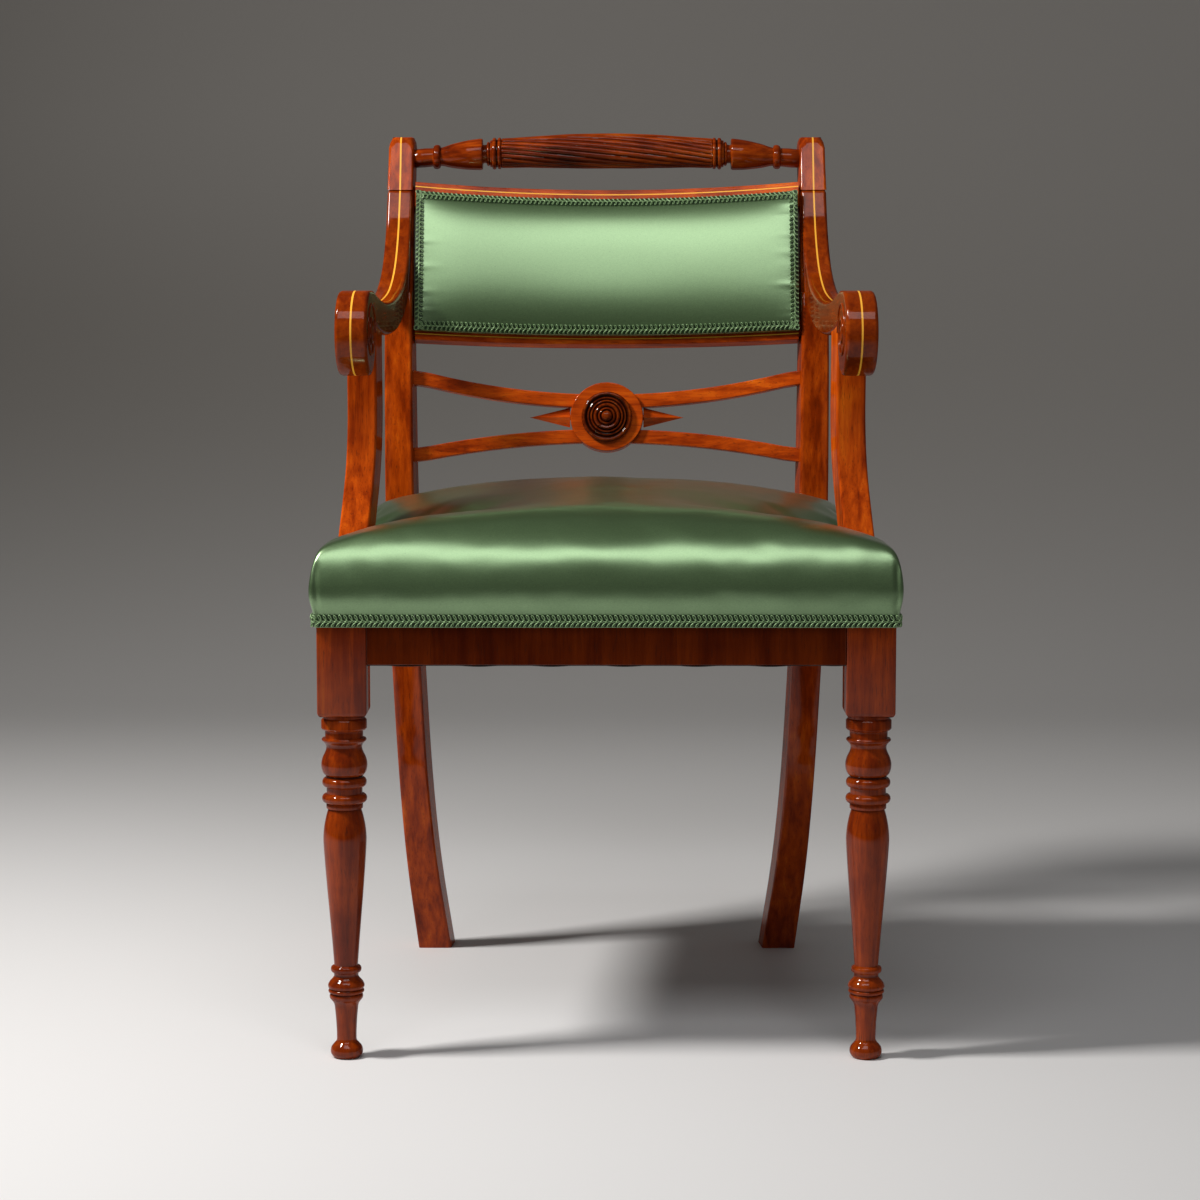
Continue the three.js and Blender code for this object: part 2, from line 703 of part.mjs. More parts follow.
// The bowed back. A place on it is given across the chair, by the height where its line meets
// the posts, and by the depth behind the posts' middle line, square to the leaning back.
const backEnd = (z) => postInside(z) - depthAt(z) * railTaper;
const lean = (z) => Math.atan2(postMiddle(z + legSquare) - postMiddle(z - legSquare), 2 * legSquare);
function backPoint(x, height, depth) {
  const way = x / backEnd(height);
  const back = backBow * Math.max(0, 1 - way * way) + depth;
  const tilt = lean(height);
  return [x, postMiddle(height) + back * Math.cos(tilt), height - back * Math.sin(tilt)];
}

// A bowed bar: low and high give the heights of its edges at any place across the chair.
function bowedBar(half, low, high, [front, back], spans = 16) {
  const rings = [];
  for (let step = 0; step <= spans; step += 1) {
    const x = half * (2 * (step / spans) - 1);
    rings.push([
      backPoint(x, low(x), front), backPoint(x, low(x), back),
      backPoint(x, high(x), back), backPoint(x, high(x), front),
    ]);
  }
  return loft(rings);
}

const panelFront = panelRailSetback - depthAt(panelTop) / 2;
const panelDepths = [panelFront, panelFront + panelRailDepth];
function panelRail(low, high) {
  const end = backEnd((low + high) / 2) - gap;
  const shoulder = panelTenonShoulder;
  const tenon = (extra) => bowedBar(
    end + panelTenonLength + extra,
    () => low + shoulder - extra,
    () => high - shoulder + extra,
    [panelDepths[0] + armNotch - extra, panelDepths[1] - shoulder + extra],
  );
  return { rail: bowedBar(end, () => low, () => high, panelDepths).add(tenon(0)), socket: tenon(gap) };
}
const panelTopRail = panelRail(panelTop - panelTopRailHeight, panelTop);
const panelBottomRail = panelRail(panelBottom, panelBottom + panelBottomRailHeight);
post = post.subtract(panelTopRail.socket).subtract(panelBottomRail.socket);

// A cross bar of the splat, from the height of its lower edge at the posts to that of its
// centre line in the middle.
function crossBar(end, middle) {
  const half = backEnd(end) - gap;
  const lowest = middle - barHeight / 2;
  const low = (x) => lowest + (end - lowest) * Math.min(1, (x / half) ** 2);
  const bar = (reach, extra) => bowedBar(
    reach + extra,
    (x) => low(x) - extra,
    (x) => low(x) + barHeight + extra,
    [-barDepth / 2 - extra, barDepth / 2 + extra],
    20,
  );
  return { bar: bar(half + barTenonLength, 0), socket: bar(half + barTenonLength, gap) };
}
const upperBar = crossBar(upBack(upperBarShare), roundelHeight + upperBarLift);
const lowerBar = crossBar(upBack(lowerBarShare), roundelHeight - lowerBarDrop);
post = post.subtract(upperBar.socket).subtract(lowerBar.socket);

// Roundel, boss and spear points, made facing forward and leant back with the splat.
const roundelLean = lean(roundelHeight);
const roundelFront = -barDepth / 2 - roundelProud;
const roundelThickness = roundelProud + barDepth + roundelBacking;
function onSplat(solid) {
  const [x, y, z] = backPoint(0, roundelHeight, 0);
  return solid.rotate([-roundelLean * (180 / Math.PI), 0, 0]).translate([x, y, z]);
}
const faceForward = (solid) => solid.rotate([90, 0, 0]);
const roundelDisc = (extra) => turning([
  [0, 0], [1, 0], [1, roundelThickness + 2 * extra], [0, roundelThickness + 2 * extra],
], 40).scale([roundelHalfWidth + extra, roundelHalfHeight + extra, 1])
  .translate([0, 0, -roundelFront - roundelThickness - extra]);
const boss = turning([
  [0, -bossPinLength], [bossPinRadius, -bossPinLength], [bossPinRadius, 0],
  ...bossShares.map(([radius, rise]) => [bossRadius * radius, bossRise * rise]),
], 20).translate([0, 0, gap - roundelFront]);
const bossSocket = rod(
  bossPinRadius + gap,
  [0, 0, -roundelFront - bossPinLength], [0, 0, -roundelFront + overrun],
);

// A spear point: a ridged blade that ends in a point, with a tenon in the roundel's edge.
const spearDepth = roundelFront + (roundelProud + spearThickness / 2);
function spear(extra) {
  const root = roundelHalfWidth + gap;
  const ring = (x, half, thick) => [
    [x, -half, 0], [x, 0, thick], [x, half, 0], [x, 0, -thick],
  ];
  const tip = Math.SQRT1_2 * gap;
  const blade = loft([
    ring(root, spearHeight / 2, spearThickness / 2),
    ring(root + spearLength, tip, tip),
  ]);
  const half = spearTenonThickness / 2 + extra;
  const tenon = block([root - spearTenonLength - extra, root + spearTenonLength], [-half, half],
    [-half, half]);
  return (extra ? tenon : blade.add(tenon)).translate([0, 0, -spearDepth]);
}
let roundel = onSplat(faceForward(
  roundelDisc(0).subtract(bossSocket).subtract(spear(gap)).subtract(mirror(spear(gap))),
));
roundel = roundel.subtract(upperBar.socket).subtract(lowerBar.socket);

// Seat upholstery: webs over the rails, canvas over them, the stuffing, its cover and the braid.
const seatBack = backRailY[1];
const seatCentreY = (frontFace + seatBack) / 2;
const webLow = railTop + gap;
const webHigh = webLow + webThickness + gap;
const canvasLow = webHigh + webThickness + gap;
const padLow = canvasLow + hessianThickness + gap;
const webCount = 4;
const webs = [];
const webSpare = (webWidth - railThickness) / 2;
const firstWebY = supportFrontAt(0) - softClearance - webWidth / 2;
const rearWebY = [footMiddle + supportFootDepth / 2 + webWidth / 2, postFaceAtRail - webWidth / 2];
for (let number = 1; number <= webCount; number += 1) {
  const way = (2 * number - webCount - 1) / webCount;
  const x = way * (backRailHalf - webSpare);
  const rear = (number - 2) / (webCount - 2);
  const y = number === 1
    ? firstWebY
    : rearWebY[0] + softClearance + (rearWebY[1] - rearWebY[0] - 2 * softClearance) * rear;
  const half = Math.min(railOutside(y + webWidth / 2), railOutside(legBack)) - webEndInset;
  webs.push([`seat_web_lengthwise_${number}`, block(
    [x - webWidth / 2, x + webWidth / 2],
    [frontFace + webEndInset, seatBack - webEndInset], [webLow, webLow + webThickness],
  )]);
  webs.push([`seat_web_crosswise_${number}`, block(
    [-half, half], [y - webWidth / 2, y + webWidth / 2], [webHigh, webHigh + webThickness],
  )]);
}

// Corners of the seat's plan, grown outwards: the legs' outer faces run straight back, and the
// side rails draw in from there.
function seatCorners(outset) {
  const slant = Math.cos(Math.atan(railTaper));
  const half = frontHalfWidth + outset;
  const kink = legBack + outset * Math.tan(Math.atan(railTaper) / 2);
  const back = seatBack + outset;
  const backHalf = railOutside(back) + outset / slant;
  const right = [[half, frontFace - outset], [half, kink], [backHalf, back]];
  const left = right.map(([x, y]) => [-x, y]).reverse();
  return [...right, ...left].map(([x, y]) => new THREE.Vector2(x, y));
}

// The plan's points, rounded at the corners, with equally many points for every outset.
function seatOutline(outset, rounding) {
  const corners = seatCorners(outset);
  const perSide = [2, 7, 8, 7, 2, 8];
  const perCorner = 2;
  const points = [];
  corners.forEach((corner, index) => {
    const before = corners[(index + corners.length - 1) % corners.length];
    const after = corners[(index + 1) % corners.length];
    const near = (other) => Math.min(rounding, corner.distanceTo(other) / 3);
    const start = corner.clone().lerp(before, near(before) / corner.distanceTo(before));
    const end = corner.clone().lerp(after, near(after) / corner.distanceTo(after));
    const bend = new THREE.QuadraticBezierCurve(start, corner, end);
    for (let step = 0; step <= perCorner; step += 1) points.push(bend.getPoint(step / perCorner));
    const next = after.clone().lerp(corner, near(after) / corner.distanceTo(after));
    for (let step = 1; step < perSide[index]; step += 1) {
      points.push(end.clone().lerp(next, step / perSide[index]));
    }
  });
  return points;
}

// Rings of the stuffed seat: side wall, roll and crown, moved inwards by a thickness.
function seatRings(inwards) {
  const rings = seatWallShares.map(([bulge, height, rounding]) => (
    seatOutline(gap + coverThickness + seatBulge * bulge - inwards, gap + seatCornerRadius * rounding)
      .map(({ x, y }) => [x, y, coverHem + (seatRoll - coverHem) * height - inwards * height])
  ));
  const edge = rings.at(-1);
  for (const share of [...seatDomeShares, 0]) {
    const rise = (1 - share ** domePowers.across) ** domePowers.over;
    const z = seatRoll + seatCrownRise * rise - inwards;
    const reach = Math.max(share, gap / seatDepth);
    rings.push(edge.map(([x, y]) => [x * reach, seatCentreY + (y - seatCentreY) * reach, z]));
  }
  return rings;
}
const upholsteryCuts = (extra) => {
  const inside = backEnd(railTop) - extra;
  const postCut = block(
    [inside, backHalfWidth + overrun], [postFaceAtRail - extra, seatBack + overrun],
    [railBottom - overrun, seatRoll + seatCrownRise + overrun],
  );
  const supportCut = loft(supportRings.map((ring) => {
    const centre = ring.reduce((sum, [x, y]) => [sum[0] + x / 4, sum[1] + y / 4], [0, 0]);
    return ring.map(([x, y, z]) => [
      x + Math.sign(x - centre[0]) * extra, y + Math.sign(y - centre[1]) * extra, z - extra,
    ]);
  }));
  return postCut.add(supportCut);
};
const softGap = 2 * gap;
const cuts = upholsteryCuts(softGap);
const cutRound = (solid) => solid.subtract(cuts).subtract(mirror(cuts));
const cover = cutRound(loft([...seatRings(0), ...seatRings(coverThickness).reverse()], true));
const padBody = loft(seatRings(coverThickness + softGap));
const padFloor = block(
  [-frontHalfWidth - overrun, frontHalfWidth + overrun],
  [frontFace - overrun, seatBack + overrun],
  [railBottom - overrun, padLow],
);
const pad = cutRound(padBody.subtract(padFloor));
const canvasSheet = cutRound(planBoard(
  seatOutline(-webEndInset, gap + webEndInset).map(({ x, y }) => [x, y]),
  [canvasLow, canvasLow + hessianThickness],
));

// Braid along the hem, on three sides of the seat.
function gimpBand() {
  const inner = gap + coverThickness + seatBulge * seatWallShares[1][0] + gap;
  const place = (outset) => {
    const [front, kink] = seatCorners(outset);
    const rear = [railOutside(sideTo) + outset, sideTo];
    const half = [[front.x, front.y], [kink.x, kink.y], rear];
    return [...half.map(([x, y]) => [-x, y]).reverse(), ...half];
  };
  const outline = [...place(inner + gimpThickness), ...place(inner).reverse()];
  return planBoard(outline, [coverHem, coverHem + gimpHeight]);
}

const dustBoard = planBoard([
  [-railOutside(sideTo) + dustClothInset, sideTo], [railOutside(sideTo) - dustClothInset, sideTo],
  [frontHalfWidth - dustClothInset, frontFace + dustClothInset],
  [-frontHalfWidth + dustClothInset, frontFace + dustClothInset],
], [railBottom - gap - dustClothThickness, railBottom - gap]);
const legCut = block(
  [legInside - gap, frontHalfWidth + overrun], [frontFace - overrun, legBack + gap],
  [blockBottom, railTop],
);
const dustSheet = dustBoard.subtract(legCut).subtract(mirror(legCut));

// Back upholstery between the posts: canvas and webs, stuffing, front cover, braid, outside cover.
const padLowEdge = panelBottom + panelTenonShoulder * 2;
const padHighEdge = panelTop - panelTenonShoulder * 3;
const openLow = panelBottom + panelBottomRailHeight + gap;
const openHigh = panelTop - panelTopRailHeight - gap;
const backFace = panelFront - gap;
const backHalf = (height) => backEnd(height) - softGap;

// A sheet over the bowed back; its front and back are depths for any place on it.
function backSheet([low, high], border, front, back, [across, up]) {
  const rings = [];
  const row = (height, depth, downwards) => {
    const points = [];
    for (let step = 0; step <= across; step += 1) {
      const way = 2 * (step / across) - 1;
      const x = (backHalf((low + high) / 2) - border) * way;
      const rise = (height - low) / (high - low);
      points.push(backPoint(x, height, depth(way, 2 * rise - 1)));
    }
    return downwards ? points.reverse() : points;
  };
  for (let step = 0; step <= up; step += 1) {
    const height = low + (high - low) * (step / up);
    rings.push([...row(height, front, false), ...row(height, back, true)]);
  }
  return loftFlat(rings);
}

// Skins flat rings whose ends are strips, closing them with quads across each ring.
function loftFlat(rings) {
  const count = rings[0].length;
  const geometry = new THREE.BufferGeometry();
  geometry.setAttribute('position', new THREE.Float32BufferAttribute(rings.flat(2), 3));
  const index = [];
  const quad = (a, b, c, d) => index.push(a, b, c, a, c, d);
  for (let r = 0; r < rings.length - 1; r += 1) {
    for (let i = 0; i < count; i += 1) {
      const j = (i + 1) % count;
      const [a, b, c, d] = [r * count + i, r * count + j, (r + 1) * count + j, (r + 1) * count + i];
      if (i < count / 2) quad(a, b, c, d);
      else quad(b, c, d, a);
    }
  }
  const end = (rings.length - 1) * count;
  for (let i = 0; i < count / 2 - 1; i += 1) {
    const far = count - 1 - i;
    quad(i, far, far - 1, i + 1);
    quad(end + i, end + i + 1, end + far - 1, end + far);
  }
  geometry.setIndex(index);
  return solidOf(geometry);
}

const crown = (way, rise) => ((1 - way ** 4) * (1 - rise ** 4)) ** domePowers.over;
const padFront = (extra) => (way, rise) => (
  backFace - backPadEdge - backPadCrown * crown(way, rise) - extra
);
const flat = (depth) => () => depth;
const backPad = backSheet([padLowEdge, padHighEdge], 0, padFront(0), flat(backFace), [16, 10]);
const backCover = backSheet(
  [padLowEdge, padHighEdge], 0,
  padFront(softGap + backCoverThickness), padFront(softGap), [16, 10],
);
const webDepth = panelDepths[0] + gap;
const backWebX = backHalf(openLow) / 3;
const backWeb = (number) => {
  const rings = [openLow, (openLow + openHigh) / 2, openHigh].map((height) => {
    const middle = backWebX * number;
    return [
      backPoint(middle - webWidth / 2, height, webDepth),
      backPoint(middle + webWidth / 2, height, webDepth),
      backPoint(middle + webWidth / 2, height, webDepth + webThickness),
      backPoint(middle - webWidth / 2, height, webDepth + webThickness),
    ];
  });
  return loft(rings);
};
const outsideBack = backSheet(
  [padLowEdge, padHighEdge], outsideBackBorder,
  flat(panelDepths[1] + gap), flat(panelDepths[1] + gap + outsideBackThickness), [12, 3],
);

// Braid around the front of the back panel, as one mitred frame.
function backBraid() {
  const depth = backFace - backPadEdge - 2 * softGap - backCoverThickness;
  const steps = 10;
  const edge = (inset) => {
    const [low, high] = [padLowEdge + inset, padHighEdge - inset];
    const half = backHalf((low + high) / 2) - inset;
    const points = [];
    for (let s = 0; s < steps; s += 1) points.push([half * (2 * (s / steps) - 1), low]);
    for (let s = 0; s < 2; s += 1) points.push([half, low + (high - low) * (s / 2)]);
    for (let s = 0; s < steps; s += 1) points.push([half * (1 - 2 * (s / steps)), high]);
    for (let s = 0; s < 2; s += 1) points.push([-half, high + (low - high) * (s / 2)]);
    return points;
  };
  const [outer, inner] = [edge(0), edge(backGimpWidth)];
  const proud = backPadCrown / 2;
  const rings = outer.map(([x, z], index) => {
    const [ix, iz] = inner[index];
    return [
      backPoint(x, z, depth - gap), backPoint(x, z, depth - gap - gimpThickness),
      backPoint(ix, iz, depth - proud - gap - gimpThickness), backPoint(ix, iz, depth - proud - gap),
    ];
  });
  return loft(rings, true);
}

addPair('front_leg', leg, mahogany);
addPair('back_post', post, mahogany);
add('front_rail', geometryOf(frontRail), mahogany);
add('back_rail', geometryOf(backRail), mahogany);
addPair('side_rail', sideRail, mahogany);
addPair('front_corner_block', frontBlock, beech);
addPair('back_corner_block', rearBlock, beech);
for (const [name, { solid }] of Object.entries(screws)) addPair(name, solid, steel);
addPair('arm', arm, mahogany);
addPair('arm_support', support, mahogany);
addPair('arm_screw', armScrew.solid, steel);
add('top_rail', geometryOf(topRail), mahogany);
add('panel_top_rail', geometryOf(panelTopRail.rail), mahogany);
add('panel_bottom_rail', geometryOf(panelBottomRail.rail), mahogany);
add('upper_cross_bar', geometryOf(upperBar.bar), mahogany);
add('lower_cross_bar', geometryOf(lowerBar.bar), mahogany);
add('roundel', geometryOf(roundel), mahogany);
add('roundel_boss', geometryOf(onSplat(faceForward(boss))), darkMahogany);
addPair('spear_point', onSplat(faceForward(spear(0))), mahogany);
for (const [name, solid] of webs) add(name, geometryOf(solid), canvas);
add('seat_canvas', geometryOf(canvasSheet), canvas);
add('seat_stuffing', geometryOf(pad), canvas);
add('seat_cover', geometryOf(cover), satin);
add('seat_gimp', geometryOf(gimpBand()), braid);
add('dust_cover', geometryOf(dustSheet), dustCloth);
for (const [name, number] of [['left', 1], ['right', -1]]) {
  add(`back_web_${name}`, geometryOf(backWeb(number)), canvas);
}
add('back_stuffing', geometryOf(backPad), canvas);
add('back_cover', geometryOf(backCover), satin);
add('back_gimp', geometryOf(backBraid()), braid);
add('outside_back_cover', geometryOf(outsideBack), satin);

// The origin is on the floor, under the middle of the whole chair.
const bounds = new THREE.Box3().setFromObject(chair);
chair.position.y = -(bounds.min.y + bounds.max.y) / 2;

export default chair;
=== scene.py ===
import json
import math

import bmesh
import bpy
from mathutils import Matrix, Vector, noise

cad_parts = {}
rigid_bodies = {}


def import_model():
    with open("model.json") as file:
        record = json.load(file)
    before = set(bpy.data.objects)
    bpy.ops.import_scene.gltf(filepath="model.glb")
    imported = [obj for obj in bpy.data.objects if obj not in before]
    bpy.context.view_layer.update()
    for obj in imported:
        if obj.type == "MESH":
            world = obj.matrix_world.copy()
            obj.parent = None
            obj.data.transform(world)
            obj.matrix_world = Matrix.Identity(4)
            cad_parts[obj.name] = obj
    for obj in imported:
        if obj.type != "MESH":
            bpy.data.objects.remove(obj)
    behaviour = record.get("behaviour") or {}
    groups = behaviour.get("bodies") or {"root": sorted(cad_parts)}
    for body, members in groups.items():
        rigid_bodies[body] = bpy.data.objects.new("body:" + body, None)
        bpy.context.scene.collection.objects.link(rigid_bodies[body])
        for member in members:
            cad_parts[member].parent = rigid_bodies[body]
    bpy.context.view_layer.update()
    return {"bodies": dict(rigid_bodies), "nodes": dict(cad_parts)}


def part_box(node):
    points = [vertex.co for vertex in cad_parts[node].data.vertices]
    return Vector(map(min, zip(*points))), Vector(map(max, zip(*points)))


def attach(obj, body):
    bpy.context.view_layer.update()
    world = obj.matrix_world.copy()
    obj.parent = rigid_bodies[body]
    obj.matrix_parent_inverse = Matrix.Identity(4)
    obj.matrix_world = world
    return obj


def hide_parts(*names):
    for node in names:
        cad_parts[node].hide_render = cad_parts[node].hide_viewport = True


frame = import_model()
mm = 0.001

# The camera stands where the photographer's did: level with the back panel, almost three metres in
# front of the chair, and tipped down a little.
camera = bpy.data.objects.new("camera", bpy.data.cameras.new("camera"))
camera.data.lens = 90
camera.data.sensor_width = 36
camera.location = (0.0028, -2.9609, 0.7107)
camera.rotation_euler = (math.radians(84), 0, math.radians(0.18))
bpy.context.scene.collection.objects.link(camera)
bpy.context.scene.camera = camera


# Front legs. Each is turned from one square of mahogany: the block at its head is left square for
# the mortises, and below it come a collar, rings, a long baluster and a foot. French polished.
class Wire:
    """A value in a finish. Arithmetic on it adds the Math nodes that work it out."""

    def __init__(self, finish, socket):
        self.finish = finish
        self.socket = socket

    def math(self, operation, *values):
        return self.finish.node("Math", {"operation": operation}, dict(enumerate(values)))

    def __add__(self, other):
        return self.math("ADD", self, other)

    def __radd__(self, other):
        return self.math("ADD", other, self)

    def __sub__(self, other):
        return self.math("SUBTRACT", self, other)

    def __rsub__(self, other):
        return self.math("SUBTRACT", other, self)

    def __mul__(self, other):
        return self.math("MULTIPLY", self, other)

    def __rmul__(self, other):
        return self.math("MULTIPLY", other, self)

    def __abs__(self):
        return self.math("ABSOLUTE", self)

    def sine(self):
        return self.math("SINE", self)

    def __lt__(self, other):
        return self.math("LESS_THAN", self, other)

    def __gt__(self, other):
        return self.math("GREATER_THAN", self, other)


class Finish:
    """A finish being mixed: node() adds one node, and feed() sets or links a node's sockets."""

    def __init__(self, name, constants):
        self.material = bpy.data.materials.new(name)
        self.material.use_nodes = True
        self.tree = self.material.node_tree
        self.shader = self.tree.nodes["Principled BSDF"]
        self.feed(self.shader, constants)

    def feed(self, node, values):
        for socket, value in values.items():
            if isinstance(value, Wire):
                self.tree.links.new(value.socket, node.inputs[socket])
            else:
                node.inputs[socket].default_value = value

    def node(self, kind, settings, values, output=0):
        node = self.tree.nodes.new("ShaderNode" + kind)
        for name, value in settings.items():
            if name == "stops":
                ramp = node.color_ramp.elements
                while len(ramp) < len(value):
                    ramp.new(1)
                for stop, (position, colour) in zip(ramp, value):
                    stop.position = position
                    stop.color = (*colour, 1)
            else:
                setattr(node, name, value)
        self.feed(node, values)
        return Wire(self, node.outputs[output])

    def place(self):
        return self.node("TexCoord", {}, {}, "Object")

    def axes(self):
        return [self.node("SeparateXYZ", {}, {0: self.place()}, axis) for axis in "XYZ"]

    def blend(self, share, first, second):
        return self.node("Mix", {"data_type": "RGBA"}, {0: share, 6: first, 7: second}, 2)

    def grain(self, vector, scale, detail=2.0, roughness=0.5, distortion=0.0):
        return self.node("TexNoise", {}, {
            "Vector": vector, "Scale": scale, "Detail": detail, "Roughness": roughness,
            "Distortion": distortion,
        })

    def bump(self, height, distance, strength=1.0):
        return self.node("Bump", {}, {
            "Height": height, "Distance": distance, "Strength": strength,
        })


BOXWOOD = (0.88, 0.42, 0.045, 1)
PORE = (0.035, 0.008, 0.004, 1)
WAX = (0.010, 0.002, 0.001, 1)
along_grain = 0.07
wax_cover = 0.85


def mahogany(name, along, inlay=None, depth=1.0, figure=1.0, polish=0.4):
    """Polished mahogany whose grain runs along an axis. inlay gives the mask of a boxwood line,
    depth and figure say how light and how lively the wood is, and the wax layer of a mesh says
    where dark wax has stayed in its grooves."""
    wood = Finish(name, {
        "Coat Weight": polish, "Coat Roughness": 0.055, "Coat IOR": 1.5, "IOR": 1.45,
        "Specular IOR Level": 0.0,
    })
    place = wood.place()
    stretch = [1.0, 1.0, 1.0]
    stretch["XYZ".index(along)] = along_grain
    board = wood.node("Mapping", {}, {"Vector": place, "Scale": stretch})
    ribbon = wood.grain(board, 85, 4, 0.55, 0.6)
    streak = wood.grain(board, 330, 3, 0.6)
    cloud = wood.grain(place, 16, 3, 0.6)
    fleck = wood.grain(board, 1100, 2, 0.6)
    tone = 0.5 + (ribbon * 0.45 + cloud * 0.35 + streak * 0.2 - 0.5) * figure
    colour = wood.node("ValToRGB", {"stops": [
        (0.36, (0.085 * depth, 0.0085 * depth, 0.0010 * depth)),
        (0.46, (0.27 * depth, 0.028 * depth, 0.0015 * depth)),
        (0.54, (0.50 * depth, 0.066 * depth, 0.0028 * depth)),
        (0.66, (0.80 * depth, 0.165 * depth, 0.007 * depth)),
    ]}, {0: tone})
    pore = wood.node("MapRange", {}, {0: fleck, 1: 0.58, 2: 0.72, 3: 0, 4: 0.6})
    colour = wood.blend(pore, colour, PORE)
    wax = wood.node("Attribute", {"attribute_name": "wax"}, {}, "Fac")
    colour = wood.blend(wax * wax_cover, colour, WAX)
    if inlay:
        colour = wood.blend(inlay(*wood.axes()), colour, BOXWOOD)
    wood.feed(wood.shader, {
        "Base Color": colour,
        "Roughness": 0.28 + 0.14 * cloud,
        "Normal": wood.bump(cloud * 0.6 - pore * 0.08, 0.0005, 0.35),
    })
    return wood.material


def bead(low, high, root, swell, steps=8):
    """A half round between two heights, from a root radius out by a swell."""
    return [
        (root + swell * math.sin(math.pi * step / steps),
         low + (high - low) * (1 - math.cos(math.pi * step / steps)) / 2)
        for step in range(steps + 1)
    ]


def sweep(stations, steps=6):
    """A smooth line through (radius, height) stations."""
    ends = [stations[0], *stations, stations[-1]]
    points = []
    for before, start, end, after in zip(ends, ends[1:], ends[2:], ends[3:]):
        for step in range(steps):
            t = step / steps
            points.append(tuple(
                0.5 * (2 * s + (e - b) * t + (2 * b - 5 * s + 4 * e - a) * t * t
                       + (3 * s - b - 3 * e + a) * t * t * t)
                for b, s, e, a in zip(before, start, end, after)
            ))
    return [*points, stations[-1]]


groove_reach = 3.2
least_groove = 0.5
full_groove = 1.6


def hollow(profile, index):
    """How deep a point of a profile lies in a groove, from 0 on the open surface to 1."""
    radius, height = profile[index]
    below = [r for r, h in profile if 0 <= height - h < groove_reach]
    above = [r for r, h in profile if 0 <= h - height < groove_reach]
    groove = min(max(below), max(above)) - radius
    return min(1, max(0, (groove - least_groove) / full_groove))


def turned(profile, sides):
    """Spins a profile of (radius, height) in millimetres about Z, from axis to axis."""
    turning = bmesh.new()
    wax = turning.verts.layers.float.new("wax")
    points = [turning.verts.new((radius * mm, 0, height * mm)) for radius, height in profile]
    for index, point in enumerate(points):
        point[wax] = hollow(profile, index)
    line = [turning.edges.new(pair) for pair in zip(points, points[1:])]
    bmesh.ops.spin(turning, geom=points + line, cent=(0, 0, 0), axis=(0, 0, 1), dvec=(0, 0, 0),
                   angle=math.tau, steps=sides, use_merge=True, use_normal_flip=False,
                   use_duplicate=False)
    bmesh.ops.remove_doubles(turning, verts=turning.verts, dist=1e-6)
    bmesh.ops.recalc_face_normals(turning, faces=turning.faces)
    return turning


def rounded(shape, arrises, width, facets):
    bmesh.ops.bevel(shape, geom=arrises, offset=width, segments=facets, profile=0.5,
                    affect="EDGES", material=-1)


def put_in_order(shape):
    """Sorts edges and faces by their points. Blender leaves extruded ones in an order that changes
    from run to run, and a stuffed piece would swell a little differently with it."""
    shape.verts.index_update()
    count = len(shape.verts)

    def rank(part):
        first, second, *others = sorted(vert.index for vert in part.verts)
        return (first * count + second) * count + (others[0] if others else 0)

    shape.edges.sort(key=rank)
    shape.faces.sort(key=rank)


def formed(name, shape, material):
    """Makes an object of a bmesh, shaded smooth."""
    put_in_order(shape)
    mesh = bpy.data.meshes.new(name)
    shape.to_mesh(mesh)
    shape.free()
    mesh.polygons.foreach_set("use_smooth", [True] * len(mesh.polygons))
    mesh.materials.append(material)
    made = bpy.data.objects.new(name, mesh)
    bpy.context.scene.collection.objects.link(made)
    return made


def piece(name, shape, material, nodes, sharp=38):
    """Makes a finished piece of a bmesh, in place of the CAD nodes named, on the chair's body."""
    made = formed(name, shape, material)
    made.data.set_sharp_from_angle(angle=math.radians(sharp))
    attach(made, body)
    if nodes:
        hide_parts(*nodes)
    return made


body = next(iter(frame["bodies"]))
# The legs' mahogany is made darker, as painted shade on the front faces of their square blocks.
upright_wood_painted_shade = mahogany("mahogany_upright_painted_shade", "Z", depth=0.54, figure=0.6, polish=0.55)
leg_sides = 56
block_low = 320 * mm
block_ease = 1.4 * mm
block_under = 4.0 * mm
leg_profile = [
    (0, 0), (11.4, 0), (12.4, 0.7),
    *sweep([(13.2, 1.6), (14.6, 4), (14.9, 7), (14.0, 10.2), (11.8, 13), (9.7, 15.4), (9.1, 17.6)]),
    *sweep([(9.1, 18.5), (9.2, 26), (9.9, 38), (10.9, 48.5)]),
    (11.6, 51), (13.0, 53.2), (14.2, 54.6),
    *bead(55, 60.2, 14.2, 1.3, 6), (14.3, 60.6), *bead(61, 64.4, 15.2, 1.4, 6), (15.1, 64.8),
    *sweep([(15.9, 65.2), (16.8, 66.8), (16.6, 69), (15.0, 71.8), (12.6, 74.4), (11.3, 76.6),
            (11.4, 78.8)]),
    *bead(79.9, 86.3, 11.8, 2.4),
    *sweep([(10.9, 87), (11.5, 95), (12.8, 112), (14.9, 137), (16.7, 158), (18.4, 180), (19.7, 200),
            (19.7, 209), (18.7, 218), (16.8, 227), (15.0, 233)]),
    (16.6, 233.4), (16.8, 234), (16.8, 237.4), (16.4, 238.2),
    *bead(238.6, 246.8, 17.3, 3.4), (16.4, 247.4), (16.4, 252.6),
    *bead(253.2, 262.0, 17.0, 3.4), (16.8, 262.6), (16.8, 263.2),
    *sweep([(17.2, 263.6), (19.6, 266.6), (20.9, 271), (21.0, 275.5), (19.8, 280.5), (17.8, 284.8),
            (16.6, 288), (16.4, 290.4)]),
    *sweep([(16.6, 291.4), (17.6, 293.4), (19.4, 295.2), (20.4, 296.4), (20.5, 297.4)], 4),
    (19.8, 298.4), (17.6, 299.0), (17.3, 299.8), (17.5, 305.4),
    (19.8, 306.2), (20.9, 307.6), (20.9, 315), (20.0, 316.2), (19.0, 317), (19.0, 322), (0, 322),
]
